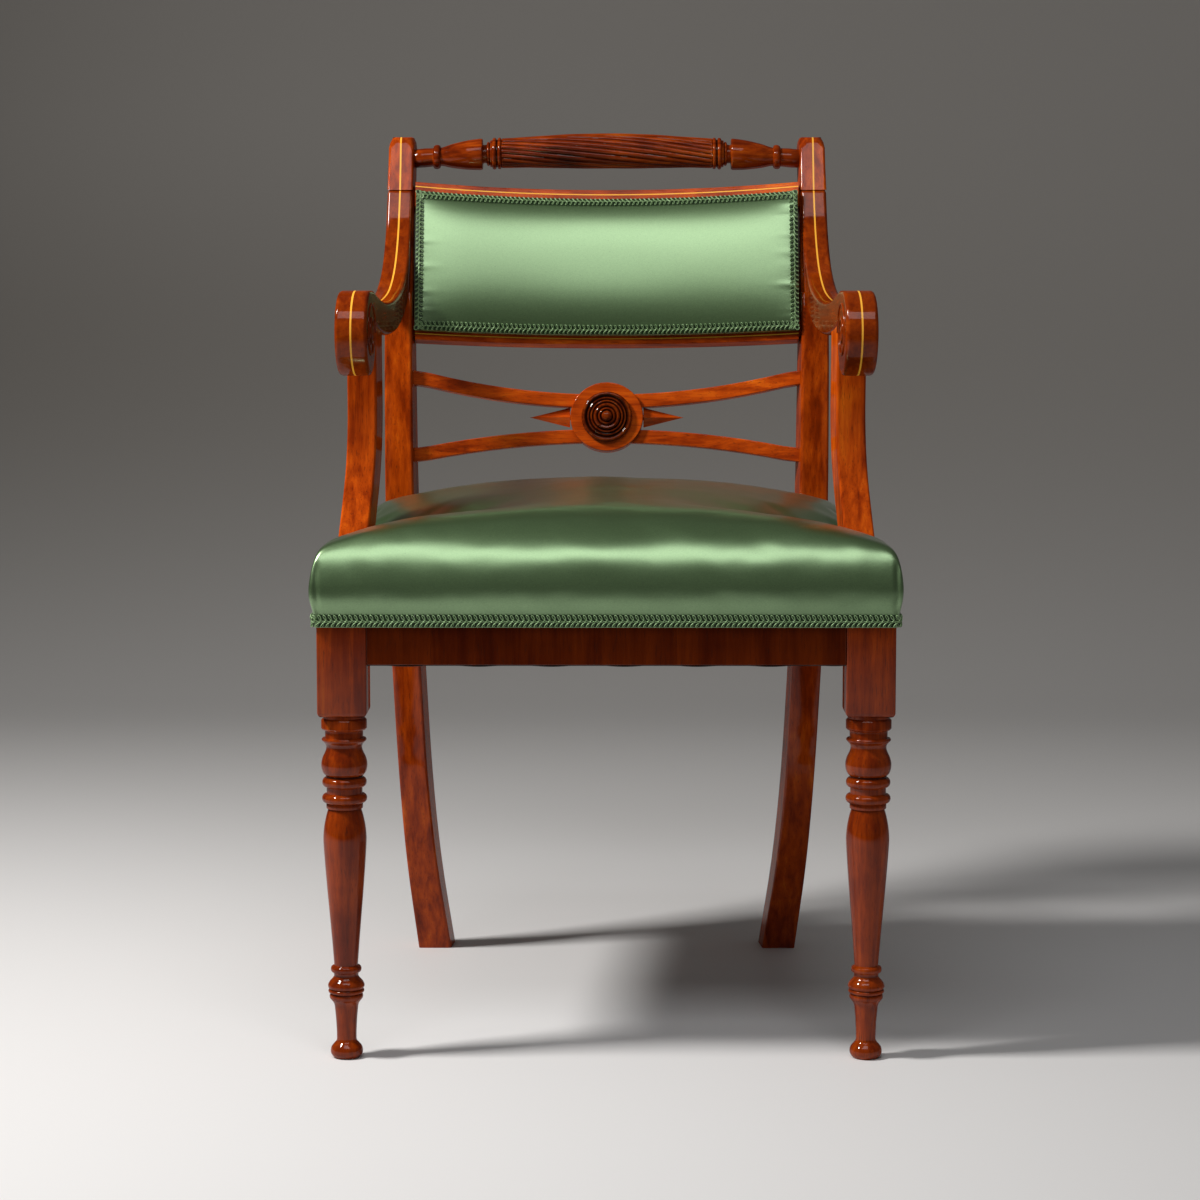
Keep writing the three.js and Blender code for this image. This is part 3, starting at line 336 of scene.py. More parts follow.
for side in ("left", "right"):
    low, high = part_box(f"front_leg_{side}")
    middle = (low + high) / 2
    square = high.x - low.x
    leg = turned(leg_profile, leg_sides)
    bmesh.ops.translate(leg, verts=leg.verts, vec=(middle.x, middle.y, 0))
    block = bmesh.ops.create_cube(leg, size=1)["verts"]
    bmesh.ops.scale(leg, verts=block, vec=(square, square, high.z - block_low))
    bmesh.ops.translate(leg, verts=block, vec=(middle.x, middle.y, (block_low + high.z) / 2))
    rounded(leg, [edge for edge in leg.edges if edge.verts[0] in block
                  and abs(edge.verts[0].co.z - edge.verts[1].co.z) > block_under], block_ease, 3)
    rounded(leg, [edge for edge in leg.edges if any(
        face.normal.z < -0.99 and abs(face.calc_center_median().z - block_low) < 1e-5
        for face in edge.link_faces)], block_under, 4)
    piece(f"turned_leg_{side}", leg, upright_wood_painted_shade, [f"front_leg_{side}"])


# Back posts. Each is sawn in one piece from the floor to the top of the back, raked backwards above
# and below the seat, with its arrises eased by a scraper. A boxwood line is let into its head.
level_within = math.radians(0.4)
arris_from = math.radians(50)


def eased_copy(node, *easings):
    """A copy of a CAD piece, merged, with arrises rounded over. An easing gives a width in
    millimetres, its facets, and a function that chooses the arrises by their two ends."""
    copy = bmesh.new()
    copy.from_mesh(frame["nodes"][node].data)
    bmesh.ops.remove_doubles(copy, verts=copy.verts, dist=1e-6)
    bmesh.ops.dissolve_limit(copy, angle_limit=level_within, verts=copy.verts, edges=copy.edges)
    for width, facets, chosen in easings:
        arrises = [
            edge for edge in copy.edges
            if len(edge.link_faces) == 2 and edge.calc_face_angle_signed(0) > arris_from
            and chosen(edge.verts[0].co, edge.verts[1].co)
        ]
        rounded(copy, arrises, width * mm, facets)
    return copy


def longer(length):
    return lambda start, end: (end - start).length > length * mm


def sawn(name, node, wood, *easings):
    """A sawn piece with eased arrises. Its flat faces stay flat in the light up to the arrises."""
    made = piece(name, eased_copy(node, *easings), wood, [node])
    made.modifiers.new("level", "WEIGHTED_NORMAL").keep_sharp = True


line_half = 0.85 * mm
post_line = 217.6 * mm
arm_joint = 810 * mm
head_low = 855 * mm
head_rake = 0.34
behind_face = 240 * mm - head_rake * arm_joint


def post_inlay(x, y, z):
    on_face = y - head_rake * z < behind_face
    return (abs(abs(x) - post_line) < line_half) * (z > arm_joint) * on_face


post_wood = mahogany("mahogany_posts", "Z", post_inlay, depth=0.78, figure=0.7)


def upwards(start, end):
    return abs(end.z - start.z) > 0.55 * (end - start).length and (end - start).length > 9 * mm


def at_head(start, end):
    return min(start.z, end.z) > head_low and abs(end.x - start.x) < 2 * mm


def round_face(start, end):
    over_head = min(start.z, end.z) > head_low and abs(end.y - start.y) < 3 * mm
    return over_head or upwards(start, end)


for side in ("left", "right"):
    sawn(f"post_{side}", f"back_post_{side}", post_wood, (8, 6, at_head), (3, 4, round_face))

# Seat rails. The front rail is veneered with the grain upright, and the other three are plain
# mahogany. They are tenoned into the legs and posts, with beech glue blocks screwed in the corners.
# The veneer is made much darker than the other mahogany, as painted shade on the rail's front face.
veneer = mahogany("mahogany_veneer_painted_shade", "Z", depth=0.22, figure=0.4)
long_wood = mahogany("mahogany_lengthwise", "Y", depth=0.6)
cross_wood = mahogany("mahogany_crosswise", "X", figure=0.75)
for node, wood in (("front_rail", veneer), ("back_rail", cross_wood),
                   ("side_rail_left", long_wood), ("side_rail_right", long_wood)):
    sawn(f"{node}_planed", node, wood, (0.7, 3, longer(60)))


def raw_beech():
    wood = Finish("raw_beech", {"Roughness": 0.62})
    board = wood.node("Mapping", {}, {"Vector": wood.place(), "Scale": (0.08, 1, 1)})
    fleck = wood.grain(board, 260, 3)
    wood.feed(wood.shader, {
        "Base Color": wood.node("ValToRGB", {"stops": [
            (0.3, (0.30, 0.17, 0.08)), (0.7, (0.52, 0.35, 0.20)),
        ]}, {0: fleck}),
        "Normal": wood.bump(fleck, 0.0004, 0.5),
    })
    return wood.material


def screw_steel():
    steel = Finish("screw_steel", {"Metallic": 1.0, "Base Color": (0.46, 0.44, 0.41, 1)})
    steel.feed(steel.shader, {"Roughness": 0.32 + 0.25 * steel.grain(steel.place(), 700, 2)})
    return steel.material


def dress(nodes, material):
    for node in nodes:
        slots = frame["nodes"][node].data.materials
        slots.clear()
        slots.append(material)


dress([n for n in frame["nodes"] if "corner_block" in n], raw_beech())
dress([n for n in frame["nodes"] if "screw" in n], screw_steel())

# Arms. Each is sawn from one board to a long hollow that ends in a scroll with a carved spiral. It
# is notched over the face of the post and screwed, with a boxwood line down the middle of its edge.
# Its support is sawn to an S and doweled in.
arm_back = 223.8 * mm
arm_reach = 418.5 * mm
arm_splay = 17.8 * mm


def arm_inlay(x, y, z):
    centre = post_line + (arm_back - y) * (arm_splay / arm_reach)
    return abs(abs(x) - centre) < line_half


arm_wood = mahogany("mahogany_arms", "Y", arm_inlay, depth=0.5, figure=0.5)
support_wood = mahogany("mahogany_supports", "Z", depth=1.05, figure=0.7)
for side in ("left", "right"):
    sawn(f"scrolled_arm_{side}", f"arm_{side}", arm_wood, (3.6, 5, longer(3)))
    sawn(f"sawn_support_{side}", f"arm_support_{side}", support_wood, (2.4, 4, upwards))


def add_curve(shape, line):
    """Adds the solid of a curve to a bmesh."""
    holder = bpy.data.objects.new("curve", line)
    bpy.context.scene.collection.objects.link(holder)
    graph = bpy.context.evaluated_depsgraph_get()
    graph.update()
    solid = bpy.data.meshes.new_from_object(holder.evaluated_get(graph), depsgraph=graph)
    bpy.data.objects.remove(holder)
    shape.from_mesh(solid)
    bpy.data.meshes.remove(solid)
    bmesh.ops.remove_doubles(shape, verts=shape.verts, dist=1e-7)


scroll_middle = (-155.1 * mm, 665.7 * mm)
scroll_inside, scroll_outside = 219.0 * mm, 248.7 * mm
volute_turns = 1.8
volute_points = 90
volute_start, volute_end = 32.5 * mm, 7.0 * mm
eye_radius = 6.5 * mm


def scroll_face(inner, y):
    """How far out a side of the scroll stands, which changes with y because the arms splay."""
    side_line = scroll_inside if inner else scroll_outside
    return side_line + (scroll_middle[0] - y) * (arm_splay / arm_reach)


for side, way in (("left", 1), ("right", -1)):
    line = bpy.data.curves.new("volute", "CURVE")
    line.dimensions = "3D"
    line.bevel_depth = 1.3 * mm
    line.bevel_resolution = 2
    line.use_fill_caps = True
    volute = bmesh.new()
    for inner in (True, False):
        bead_line = line.splines.new("POLY")
        bead_line.points.add(volute_points - 1)
        for index, point in enumerate(bead_line.points):
            share = index / (volute_points - 1)
            turn = math.tau * volute_turns * share
            radius = volute_start - (volute_start - volute_end) * share ** 0.8
            y = scroll_middle[0] + radius * math.cos(turn)
            z = scroll_middle[1] + radius * math.sin(turn)
            point.co = (way * scroll_face(inner, y), y, z, 1)
            point.radius = 0.75 + 0.6 * share
        bmesh.ops.create_uvsphere(volute, u_segments=20, v_segments=12, radius=eye_radius)
        eye = [vert for vert in volute.verts if not vert.tag]
        bmesh.ops.scale(volute, verts=eye, vec=(0.28, 1, 1))
        bmesh.ops.translate(volute, verts=eye, vec=(way * scroll_face(inner, scroll_middle[0]),
                                                    *scroll_middle))
        for vert in eye:
            vert.tag = True
    add_curve(volute, line)
    piece(f"volute_{side}", volute, arm_wood, [], 60)

# Top rail. It is turned with an urn and rings at each end, bent up a little in the middle, and its
# barrel is reeded by hand along a slow slant.
reeds = 19
reed_depth = 2.0 * mm
reed_slant = 0.123
reed_clean = 0.62
barrel_half = 111
rail_sides = 190
rail_half_profile = [
    *sweep([(18.5, 0), (18.3, 28), (17.4, 57), (16.2, 85), (15.6, barrel_half)], 11),
    (14.6, 111.4), *bead(111.8, 115.4, 15.1, 1.5, 6), (14.5, 115.7), (14.5, 116.7),
    *bead(117, 121, 15.0, 1.7, 6), (14.2, 121.4), (13.9, 123.4),
    *bead(123.8, 127.0, 10.8, 1.9, 6), (9.8, 127.4), (9.6, 130.6), (11.4, 131.1),
    *sweep([(15.6, 131.4), (16.4, 132.8), (16.3, 137), (15.3, 148), (12.7, 163), (10.3, 172),
            (9.6, 175.6)]),
    *bead(176, 183.6, 10.2, 2.6), (9.6, 184.2), (10.0, 193), (9.7, 202), (9.4, 202.4),
    (9.4, 212), (0, 212),
]
rail_profile = [
    *[(radius, -height) for radius, height in reversed(rail_half_profile)][:-1],
    *rail_half_profile,
]
low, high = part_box("top_rail")
rail_middle = (low + high) / 2
end_height = 843.5 * mm
arch = 8 * mm
rail_reach = 202.4 * mm
top_rail = turned(rail_profile, rail_sides)
wax = top_rail.verts.layers.float["wax"]
for vert in top_rail.verts:
    radius = math.hypot(vert.co.x, vert.co.y)
    if abs(vert.co.z) < barrel_half * mm and radius > 0:
        turn = math.atan2(vert.co.y, vert.co.x) - vert.co.z * reed_slant / radius
        across = 2 * ((turn * reeds / math.tau) % 1) - 1
        cut = reed_depth * (1 - math.sqrt(max(0, 1 - 0.97 * across * across)))
        vert[wax] = max(0, abs(across) - reed_clean) / (1 - reed_clean)
        vert.co.x *= 1 - cut / radius
        vert.co.y *= 1 - cut / radius
bmesh.ops.rotate(top_rail, verts=top_rail.verts, cent=(0, 0, 0),
                 matrix=Matrix.Rotation(math.pi / 2, 3, "Y"))
for vert in top_rail.verts:
    lift = arch * (1 - min(1, (vert.co.x / rail_reach) ** 2))
    vert.co += Vector((0, rail_middle.y, end_height + lift))
piece("reeded_top_rail", top_rail, mahogany("mahogany_reeded", "X", depth=0.5),
      ["top_rail"])

# Back panel rails, cross bars and their roundel. The four bars are sawn to one bow across the back,
# and the panel rails carry a boxwood line. The roundel's spear points are let into its edge.
bow = 25 * mm
bow_half = 201.3 * mm
rail_line_half = 0.55 * mm
rail_face = 3 * mm


def rail_inlay(height, depth, lean):
    """The line along a bowed rail's face, from its height and depth at the ends and its lean."""
    def line(x, y, z):
        behind = bow - (x * x) * (bow / bow_half ** 2)
        along_face = abs(z + behind * math.sin(lean) - height) < rail_line_half
        return along_face * (y - behind * math.cos(lean) < depth + rail_face)
    return line


rail_lines = {"panel_top_rail": rail_inlay(813.8 * mm, 226.6 * mm, math.radians(19.2)),
              "panel_bottom_rail": rail_inlay(660.4 * mm, 179.1 * mm, math.radians(14.5))}


def wider(width):
    return lambda start, end: abs(end.x - start.x) > width * mm


for node in ("panel_top_rail", "panel_bottom_rail", "upper_cross_bar", "lower_cross_bar"):
    wood = cross_wood
    if node in rail_lines:
        wood = mahogany(f"mahogany_{node}", "X", rail_lines[node], figure=0.75, polish=0.2)
    sawn(f"bowed_{node}", node, wood, (1.1, 3, wider(8)))
for side in ("left", "right"):
    sawn(f"carved_point_{side}", f"spear_point_{side}", cross_wood, (0.5, 2, wider(20)))
sawn("oval_roundel", "roundel", cross_wood, (1.0, 2, longer(4)))
dark_wood = mahogany("mahogany_dark", "Y", depth=0.35)
boss_profile = [
    (0, -7.2), (3.9, -7.2), (3.9, -3.2), (26.3, -3.2), (26.5, -1.2),
    *[(24.0 + 2.5 * math.cos(math.pi * s / 8), -1.0 + 2.6 * math.sin(math.pi * s / 8))
      for s in range(1, 8)],
    (21.4, -0.6), (20.9, -0.2), (20.4, 1.2), (19.6, 1.7), (18.7, 1.6), (18.2, 0.5), (17.7, 0.4),
    (17.2, 1.6), (16.7, 2.6), (15.9, 2.9), (15.3, 2.5), (14.9, 1.0), (14.5, 1.0),
    (14.0, 2.6), (13.2, 4.0), (12.0, 4.6), (10.8, 4.2), (10.1, 3.0), (9.7, 2.6),
    (9.3, 3.4), (8.6, 4.8), (7.6, 5.3), (6.8, 4.8), (6.3, 3.6), (5.9, 3.4),
    (5.6, 4.6), (5.2, 6.0), (4.2, 7.2), (2.6, 8.0), (1.2, 8.2), (0, 8.2),
]
low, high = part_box("roundel_boss")
splat_lean = math.radians(9.15)
boss = turned(boss_profile, 64)
bmesh.ops.rotate(boss, verts=boss.verts, cent=(0, 0, 0),
                 matrix=Matrix.Rotation(math.pi / 2 - splat_lean, 3, "X"))
bmesh.ops.translate(boss, verts=boss.verts, vec=(low + high) / 2)
piece("turned_boss", boss, dark_wood, ["roundel_boss"])

# Webbing and canvas. Eight strips of jute webbing are woven through each other and tacked to the
# tops of the seat rails, with a hessian canvas over them. Two more strips hold the back's stuffing.
def jute(name, pale, deep, threads):
    """A plain weave of coarse threads that cross at the given number to the metre."""
    cloth = Finish(name, {"Sheen Weight": 0.15, "Sheen Roughness": 0.6})
    across, along, rise = cloth.axes()
    warp = (across * (threads * math.tau)).sine()
    weft = (along * (threads * math.tau)).sine()
    over = warp * weft
    slub = cloth.grain(cloth.place(), threads * 0.9, 2, 0.7)
    cloth.feed(cloth.shader, {
        "Base Color": cloth.blend(slub * 0.7 + over * 0.15 + 0.15, (*deep, 1), (*pale, 1)),
        "Roughness": 0.75 + 0.15 * slub,
        "Normal": cloth.bump(over + slub, 0.0004, 0.7),
    })
    return cloth.material


webbing = jute("jute_webbing", (0.42, 0.30, 0.17), (0.20, 0.13, 0.07), 450)
hessian = jute("hessian_canvas", (0.46, 0.37, 0.24), (0.22, 0.16, 0.10), 620)


def spread(cells_across, cells_along, put):
    """A flat grid of cells whose points are put in place by a function of both ways, -1 to 1."""
    sheet = bmesh.new()
    bmesh.ops.create_grid(sheet, x_segments=cells_across, y_segments=cells_along, size=1,
                          calc_uvs=True)
    for vert in sheet.verts:
        vert.co = put(vert.co.x, vert.co.y)
    bmesh.ops.recalc_face_normals(sheet, faces=sheet.faces)
    return sheet


def thicken(made, thickness):
    wall = made.modifiers.new("thickness", "SOLIDIFY")
    wall.thickness = thickness
    wall.offset = 0
    return made


web_gauge = 1.4 * mm
bend_reach = 46 * mm
runs = (("lengthwise", "crosswise", 1, (6, 90), ["front_rail", "back_rail"]),
        ("crosswise", "lengthwise", 0, (90, 6), ["side_rail_left", "side_rail_right"]))
for number in range(1, 5):
    for run, other, axis, cells, rails in runs:
        node = f"seat_web_{run}_{number}"
        low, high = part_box(node)
        others = [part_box(f"seat_web_{other}_{n}") for n in range(1, 5)]
        level_here, level_there = (low.z + high.z) / 2, (others[0][0].z + others[0][1].z) / 2
        crossings = [(start[axis] + end[axis]) / 2 for start, end in others]

        def woven(u, v):
            place = Vector(((low.x + high.x) / 2 + u * (high.x - low.x) / 2,
                            (low.y + high.y) / 2 + v * (high.y - low.y) / 2, level_here))
            for index, crossing in enumerate(crossings):
                if (number + index + 1) % 2:
                    near = max(0, 1 - abs(place[axis] - crossing) / bend_reach)
                    share = min(1, near * 2.1)
                    place.z += (level_there - level_here) * share * share * (3 - 2 * share)
            return place

        strip = spread(*cells, woven)
        web = thicken(piece(f"woven_{node}", strip, webbing, [node], 60), web_gauge)
for node, material, flat in (("seat_canvas", hessian, (0.517, 0.435)),
                             ("back_web_left", webbing, (0.05, 0.117)),
                             ("back_web_right", webbing, (0.05, 0.117))):
    low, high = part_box(node)
    cloth = bmesh.new()
    cloth.from_mesh(frame["nodes"][node].data)
    bmesh.ops.remove_doubles(cloth, verts=cloth.verts, dist=1e-6)
    piece(f"tacked_{node}", cloth, material, [node], 30)

# Seat. A stuffing of curled hair lies on the canvas under a cover of green satin, which is drawn
# down over the rails, round the arm supports and the posts, and pleated at the front corners.
SATIN_DEEP = (0.10, 0.20, 0.066)
SATIN_LIT = (0.17, 0.30, 0.118)


def satin(name):
    """Satin whose smooth weft threads run across the chair and catch the light along them."""
    cloth = Finish(name, {
        "Metallic": 0.85, "Coat Weight": 0.9, "Coat Roughness": 0.29, "Coat IOR": 1.85,
        "Sheen Weight": 0.04, "Sheen Roughness": 0.3, "IOR": 1.5,
    })
    place = cloth.place()
    threads = cloth.node("Mapping", {}, {"Vector": place, "Scale": (0.3, 1, 1)})
    thread = cloth.grain(threads, 1700, 2, 0.7)
    fleck = cloth.grain(place, 900, 2, 0.75)
    grain = cloth.node("MapRange", {}, {0: thread * 0.5 + fleck * 0.5, 1: 0.3, 2: 0.7})
    cloth.feed(cloth.shader, {
        "Base Color": cloth.blend(grain, (*SATIN_DEEP, 1), (*SATIN_LIT, 1)),
        "Roughness": 0.27 + 0.08 * grain,
        "Normal": cloth.bump(grain, 0.00012, 0.14),
    })
    return cloth.material


green_satin = satin("green_satin")


def blown(made, held, cap, pressure=4.0, settle=0, frames=20):
    """Lets a stuffed piece swell under its cover. Held points stay, and no point passes the cap.
    Each round of settling evens out the swelling between neighbouring points."""
    start = [vert.co.copy() for vert in made.data.vertices]
    tacked = made.vertex_groups.new(name="tacked")
    tacked.add(sorted(held), 1, "REPLACE")
    swell = made.modifiers.new("swell", "CLOTH")
    for setting, value in (
        ("quality", 6), ("mass", 0.3), ("tension_stiffness", 40), ("compression_stiffness", 20),
        ("bending_stiffness", 2), ("use_pressure", True), ("uniform_pressure_force", pressure),
        ("vertex_group_mass", tacked.name),
    ):
        setattr(swell.settings, setting, value)
    swell.settings.effector_weights.gravity = 0
    swell.point_cache.frame_start = 1
    swell.point_cache.frame_end = frames
    scene = bpy.context.scene
    for number in range(1, frames + 1):
        scene.frame_set(number)
    blown_up = made.evaluated_get(bpy.context.evaluated_depsgraph_get())
    moved = [vert.co - before for vert, before in zip(blown_up.data.vertices, start)]
    made.modifiers.remove(swell)
    made.vertex_groups.remove(tacked)
    scene.frame_set(1)
    moved = [move * min(1, cap / max(move.length, 1e-9)) for move in moved]
    beside = [[] for vert in start]
    for edge in made.data.edges:
        beside[edge.vertices[0]].append(edge.vertices[1])
        beside[edge.vertices[1]].append(edge.vertices[0])
    for _ in range(settle):
        moved = [move if index in held else
                 sum((moved[other] for other in beside[index]), move) / (len(beside[index]) + 1)
                 for index, move in enumerate(moved)]
    for vert, before, move in zip(made.data.vertices, start, moved):
        vert.co = before + move


def bunched(way, pull):
    """Moves a place between -1 and 1 towards its nearer end, to give the edges more points."""
    return (1 - pull) * way + pull * math.sin(way * math.pi / 2)


def smooth_step(low, high, value):
    share = min(1, max(0, (value - low) / (high - low)))
    return share * share * (3 - 2 * share)


seat_front = -272.3 * mm
seat_rear = 180.3 * mm
seat_kink = -220.6 * mm
seat_front_half = 269.0 * mm
seat_taper = 0.0896
seat_edge = 440 * mm
seat_rise = 73.5 * mm
full_crown = 0.885
support_side, support_line = 236 * mm, -124 * mm
post_side, post_front = 212 * mm, 150 * mm
valley_depth, tuck_depth, post_depth = 27 * mm, 14 * mm, 16 * mm
seat_middle = (seat_front + seat_rear) / 2
seat_reach = (seat_rear - seat_front) / 2
corner_round = 4 * mm
pleat_line = 262.0 * mm


def seat_half(y):
    return seat_front_half - max(0, y - seat_kink) * seat_taper


def seat_top(x, y):
    """The height of the seat's crown. It falls off at every edge, and dips to the arm supports."""
    from_side = max(0, seat_half(y) - abs(x)) / mm
    from_front = max(0, y - seat_front) / mm
    from_rear = max(0, seat_rear - y) / mm
    full = 0.20 * smooth_step(-70 * mm, 50 * mm, y)
    side = ((0.38 + full) * (1 - math.exp(-from_side / 3.6))
            + (0.743 - full) * (1 - math.exp(-from_side / 150)))
    front = 0.55 * (1 - math.exp(-from_front / 14)) + 0.46 * (1 - math.exp(-from_front / 75))
    rear = 0.60 * (1 - math.exp(-from_rear / 12)) + 0.40 * (1 - math.exp(-from_rear / 40))
    lowest = (max(side, 1e-3) ** -8 + max(front, 1e-3) ** -8 + max(rear, 1e-3) ** -8) ** -0.125
    height = seat_edge + seat_rise * lowest / full_crown
    dip = smooth_step(20 * mm, support_side, abs(x))
    valley = valley_depth * dip * math.exp(-((y - support_line) / (40 * mm)) ** 2)
    to_support = math.hypot(abs(x) - support_side, y - support_line)
    to_post = math.hypot(abs(x) - post_side, y - post_front)
    tuck = tuck_depth * math.exp(-(to_support / (26 * mm)) ** 2)
    post = post_depth * math.exp(-(to_post / (32 * mm)) ** 2)
    return max(seat_edge + 2 * mm * lowest, height - valley - tuck - post)


across_cells, along_cells = 96, 84
columns = [bunched(2 * n / across_cells - 1, 0.65) for n in range(across_cells + 1)]
rows = [seat_middle + seat_reach * bunched(2 * n / along_cells - 1, 0.6)
        for n in range(along_cells + 1)]
pad_under = 441.6 * mm
post_clear = (194.5 * mm, 141.1 * mm)
foot_sides = (224.4 * mm, 254.2 * mm)
foot_ends = (-146.0 * mm, -100.6 * mm)
foot_lean = 1.8 * mm


def nearest(places, goal):
    return min(range(len(places)), key=lambda index: abs(places[index] - goal))


foot_columns = [nearest(columns, side / seat_half(support_line)) for side in foot_sides]
foot_rows = [nearest(rows, end) for end in foot_ends]
post_row = nearest(rows, post_clear[1])
post_column = nearest(columns, post_clear[0] / seat_half(post_clear[1] + 20 * mm))


def seat_place(u, v):
    """Puts a point of the crown's grid on the seat's plan. The lines that lie nearest to a post or
    an arm support are moved up to it."""
    column = round((abs(u) + 1) / 2 * across_cells)
    row = round((v + 1) / 2 * along_cells)
    y = rows[row]
    if row in foot_rows and foot_columns[0] - 2 <= column:
        y = foot_ends[foot_rows.index(row)]
    elif row == post_row:
        y = post_clear[1]
    elif row == post_row - 1:
        y = post_clear[1] - 0.5 * mm
    x = seat_half(y) * columns[column]
    if column in foot_columns and foot_rows[0] - 2 <= row <= foot_rows[1] + 2:
        x = foot_sides[foot_columns.index(column)] - (y - support_line) * seat_taper
    elif row >= post_row and column == post_column:
        x = post_clear[0]
    elif row > post_row and column == post_column - 1:
        x = post_clear[0] - 0.5 * mm
    in_side = corner_round - (seat_half(y) - x)
    in_front = corner_round - (y - seat_front)
    height = seat_top(x, y)
    if in_side > 0 and in_front > 0:
        pull = 1 - max(in_side, in_front) / math.hypot(in_side, in_front)
        x -= in_side * pull
        y += in_front * pull
    return Vector((math.copysign(x, u), y, height))


def cut_out(face):
    """Whether a cell of the grid lies where a post or the foot of an arm support comes through."""
    middle = face.calc_center_median()
    column, row = (abs(middle.x) + 1) / 2 * across_cells, (middle.y + 1) / 2 * along_cells
    in_post = column > post_column and row > post_row
    return in_post or (foot_columns[0] < column < foot_columns[1]
                       and foot_rows[0] < row < foot_rows[1])


seat = bmesh.new()
bmesh.ops.create_grid(seat, x_segments=across_cells, y_segments=along_cells, size=1)
bmesh.ops.delete(seat, geom=[face for face in seat.faces if cut_out(face)], context="FACES")
for vert in seat.verts:
    vert.co = seat_place(vert.co.x, vert.co.y)
sharp_line = seat.edges.layers.float.new("crease_edge")


def extruded(shape, edges):
    """Draws a wall down from an edge loop. Returns the wall's far edges and points."""
    wall = bmesh.ops.extrude_edge_only(shape, edges=edges)["geom"]
    return ([part for part in wall if isinstance(part, bmesh.types.BMEdge)],
            [part for part in wall if isinstance(part, bmesh.types.BMVert)])


def at_foot(vert):
    return (abs(abs(vert.co.x) - sum(foot_sides) / 2) < 21 * mm
            and abs(vert.co.y - sum(foot_ends) / 2) < 26 * mm)


rim = [edge for edge in seat.edges if edge.is_boundary]
foot_edges = [edge for edge in rim if all(at_foot(vert) for vert in edge.verts)
              and all(abs(vert.co.x) < seat_half(vert.co.y) - 1 * mm for vert in edge.verts)]
hem_edges = [edge for edge in rim if edge not in set(foot_edges)]
for edge in foot_edges:
    edge[sharp_line] = 1
foot_low, foot_points = extruded(seat, foot_edges)
for vert in foot_points:
    vert.co = Vector((vert.co.x + math.copysign(foot_lean * seat_taper, vert.co.x),
                      vert.co.y - foot_lean, pad_under))
seat_rows = [(-6, 0.1), (-7, 0.5), (-7, 1.8), (-6, 1.2), (-5, 0.3), (-4, 0.1), (-3, 0),
             (0, 1.3), (16, 0), (23.6, 0)]
for index, (rise, inward) in enumerate(seat_rows):
    hem_edges, verts = extruded(seat, hem_edges)
    for vert in verts:
        by_post = (vert.co.y > post_clear[1] - 0.2 * mm
                   and abs(vert.co.x) > post_clear[0] - 0.2 * mm)
        if by_post:
            vert.co.z = pad_under + (len(seat_rows) - 1 - index) * 0.02 * mm
        else:
            vert.co.z += rise * mm
            vert.co.x *= 1 - inward * mm / seat_front_half
            vert.co.y = seat_middle + (vert.co.y - seat_middle) * (1 - inward * mm / seat_reach)
for edge in hem_edges:
    for vert in edge.verts:
        vert.co.z = pad_under
bmesh.ops.triangle_fill(seat, use_beauty=True, edges=hem_edges + foot_low)
fold_size = (9 * mm, 2 * mm, 40 * mm)
fold_place = (230.2 * mm, 139.6 * mm, 421.8 * mm)
folds = set()
for way in (1, -1):
    fold = bmesh.ops.create_cube(seat, size=1)["verts"]
    bmesh.ops.scale(seat, verts=fold, vec=fold_size)
    bmesh.ops.translate(seat, verts=fold, vec=(way * fold_place[0], *fold_place[1:]))
    folds.update(fold)
for vert in folds:
    for edge in vert.link_edges:
        edge[sharp_line] = 1
bmesh.ops.recalc_face_normals(seat, faces=seat.faces)
seat.verts.index_update()
held = {
    vert.index for vert in seat.verts
    if vert in folds or vert.co.z < 421 * mm or abs(vert.co.z - pad_under) < 0.5 * mm
    or math.hypot(abs(vert.co.x) - 238 * mm, vert.co.y - support_line) < 30 * mm
    or math.hypot(abs(vert.co.x) - 212 * mm, vert.co.y - 158 * mm) < 34 * mm
}
seat_pad = piece("stuffed_seat", seat, green_satin, ["seat_cover", "seat_stuffing"], 75)
blown(seat_pad, held, 6 * mm)
tack_low, tack_high = 415 * mm, 437 * mm
pleat_low, pleat_high = 417 * mm, 466 * mm
pleat_depth = 2.2 * mm
for vert in seat_pad.data.vertices:
    place = vert.co.copy()
    if place.z > 418 * mm and vert.index not in held:
        ease = 1.3 * noise.noise(place * 17) + 0.45 * noise.noise(place * 55)
        vert.co += vert.normal * mm * ease
    if tack_low < place.z < tack_high:
        from_hem = 1 - (place.z - tack_low) / (tack_high - tack_low)
        along_hem = Vector((place.x * 75, place.y * 75, 3))
        vert.co += vert.normal * 0.5 * mm * from_hem * noise.noise(along_hem)
    if (pleat_low < place.z < pleat_high and abs(abs(place.x) - pleat_line) < 1.1 * mm
            and place.y < seat_front + 6 * mm):
        vert.co.y += pleat_depth
fine = seat_pad.modifiers.new("fine", "SUBSURF")
fine.levels = fine.render_levels = 1

# Seat gimp. A braid of two looped silk cords on a narrow tape, glued and pinned over the tacks
# along the hem, from one post round the front to the other. The tape is a near-black green, as
# painted shade between the cords.
GIMP_LIT = (0.34, 0.50, 0.26)
GIMP_DEEP = (0.10, 0.20, 0.07)
# Painted shade: the tape between the cords is a near-black green that stands in for the shade
# between the loops.
TAPE_SHADE_PALE = (0.02, 0.055, 0.015)
TAPE_SHADE_DARK = (0.006, 0.02, 0.005)


def silk(name, deep, lit):
    """Twisted silk, with fine strands."""
    yarn = Finish(name, {"Sheen Weight": 0.2, "Sheen Roughness": 0.3, "Metallic": 0.3})
    strand = yarn.grain(yarn.place(), 1300, 2, 0.6)
    yarn.feed(yarn.shader, {
        "Base Color": yarn.blend(strand, (*deep, 1), (*lit, 1)),
        "Roughness": 0.34 + 0.2 * strand,
        "Normal": yarn.bump(strand, 0.0002, 0.6),
    })
    return yarn.material


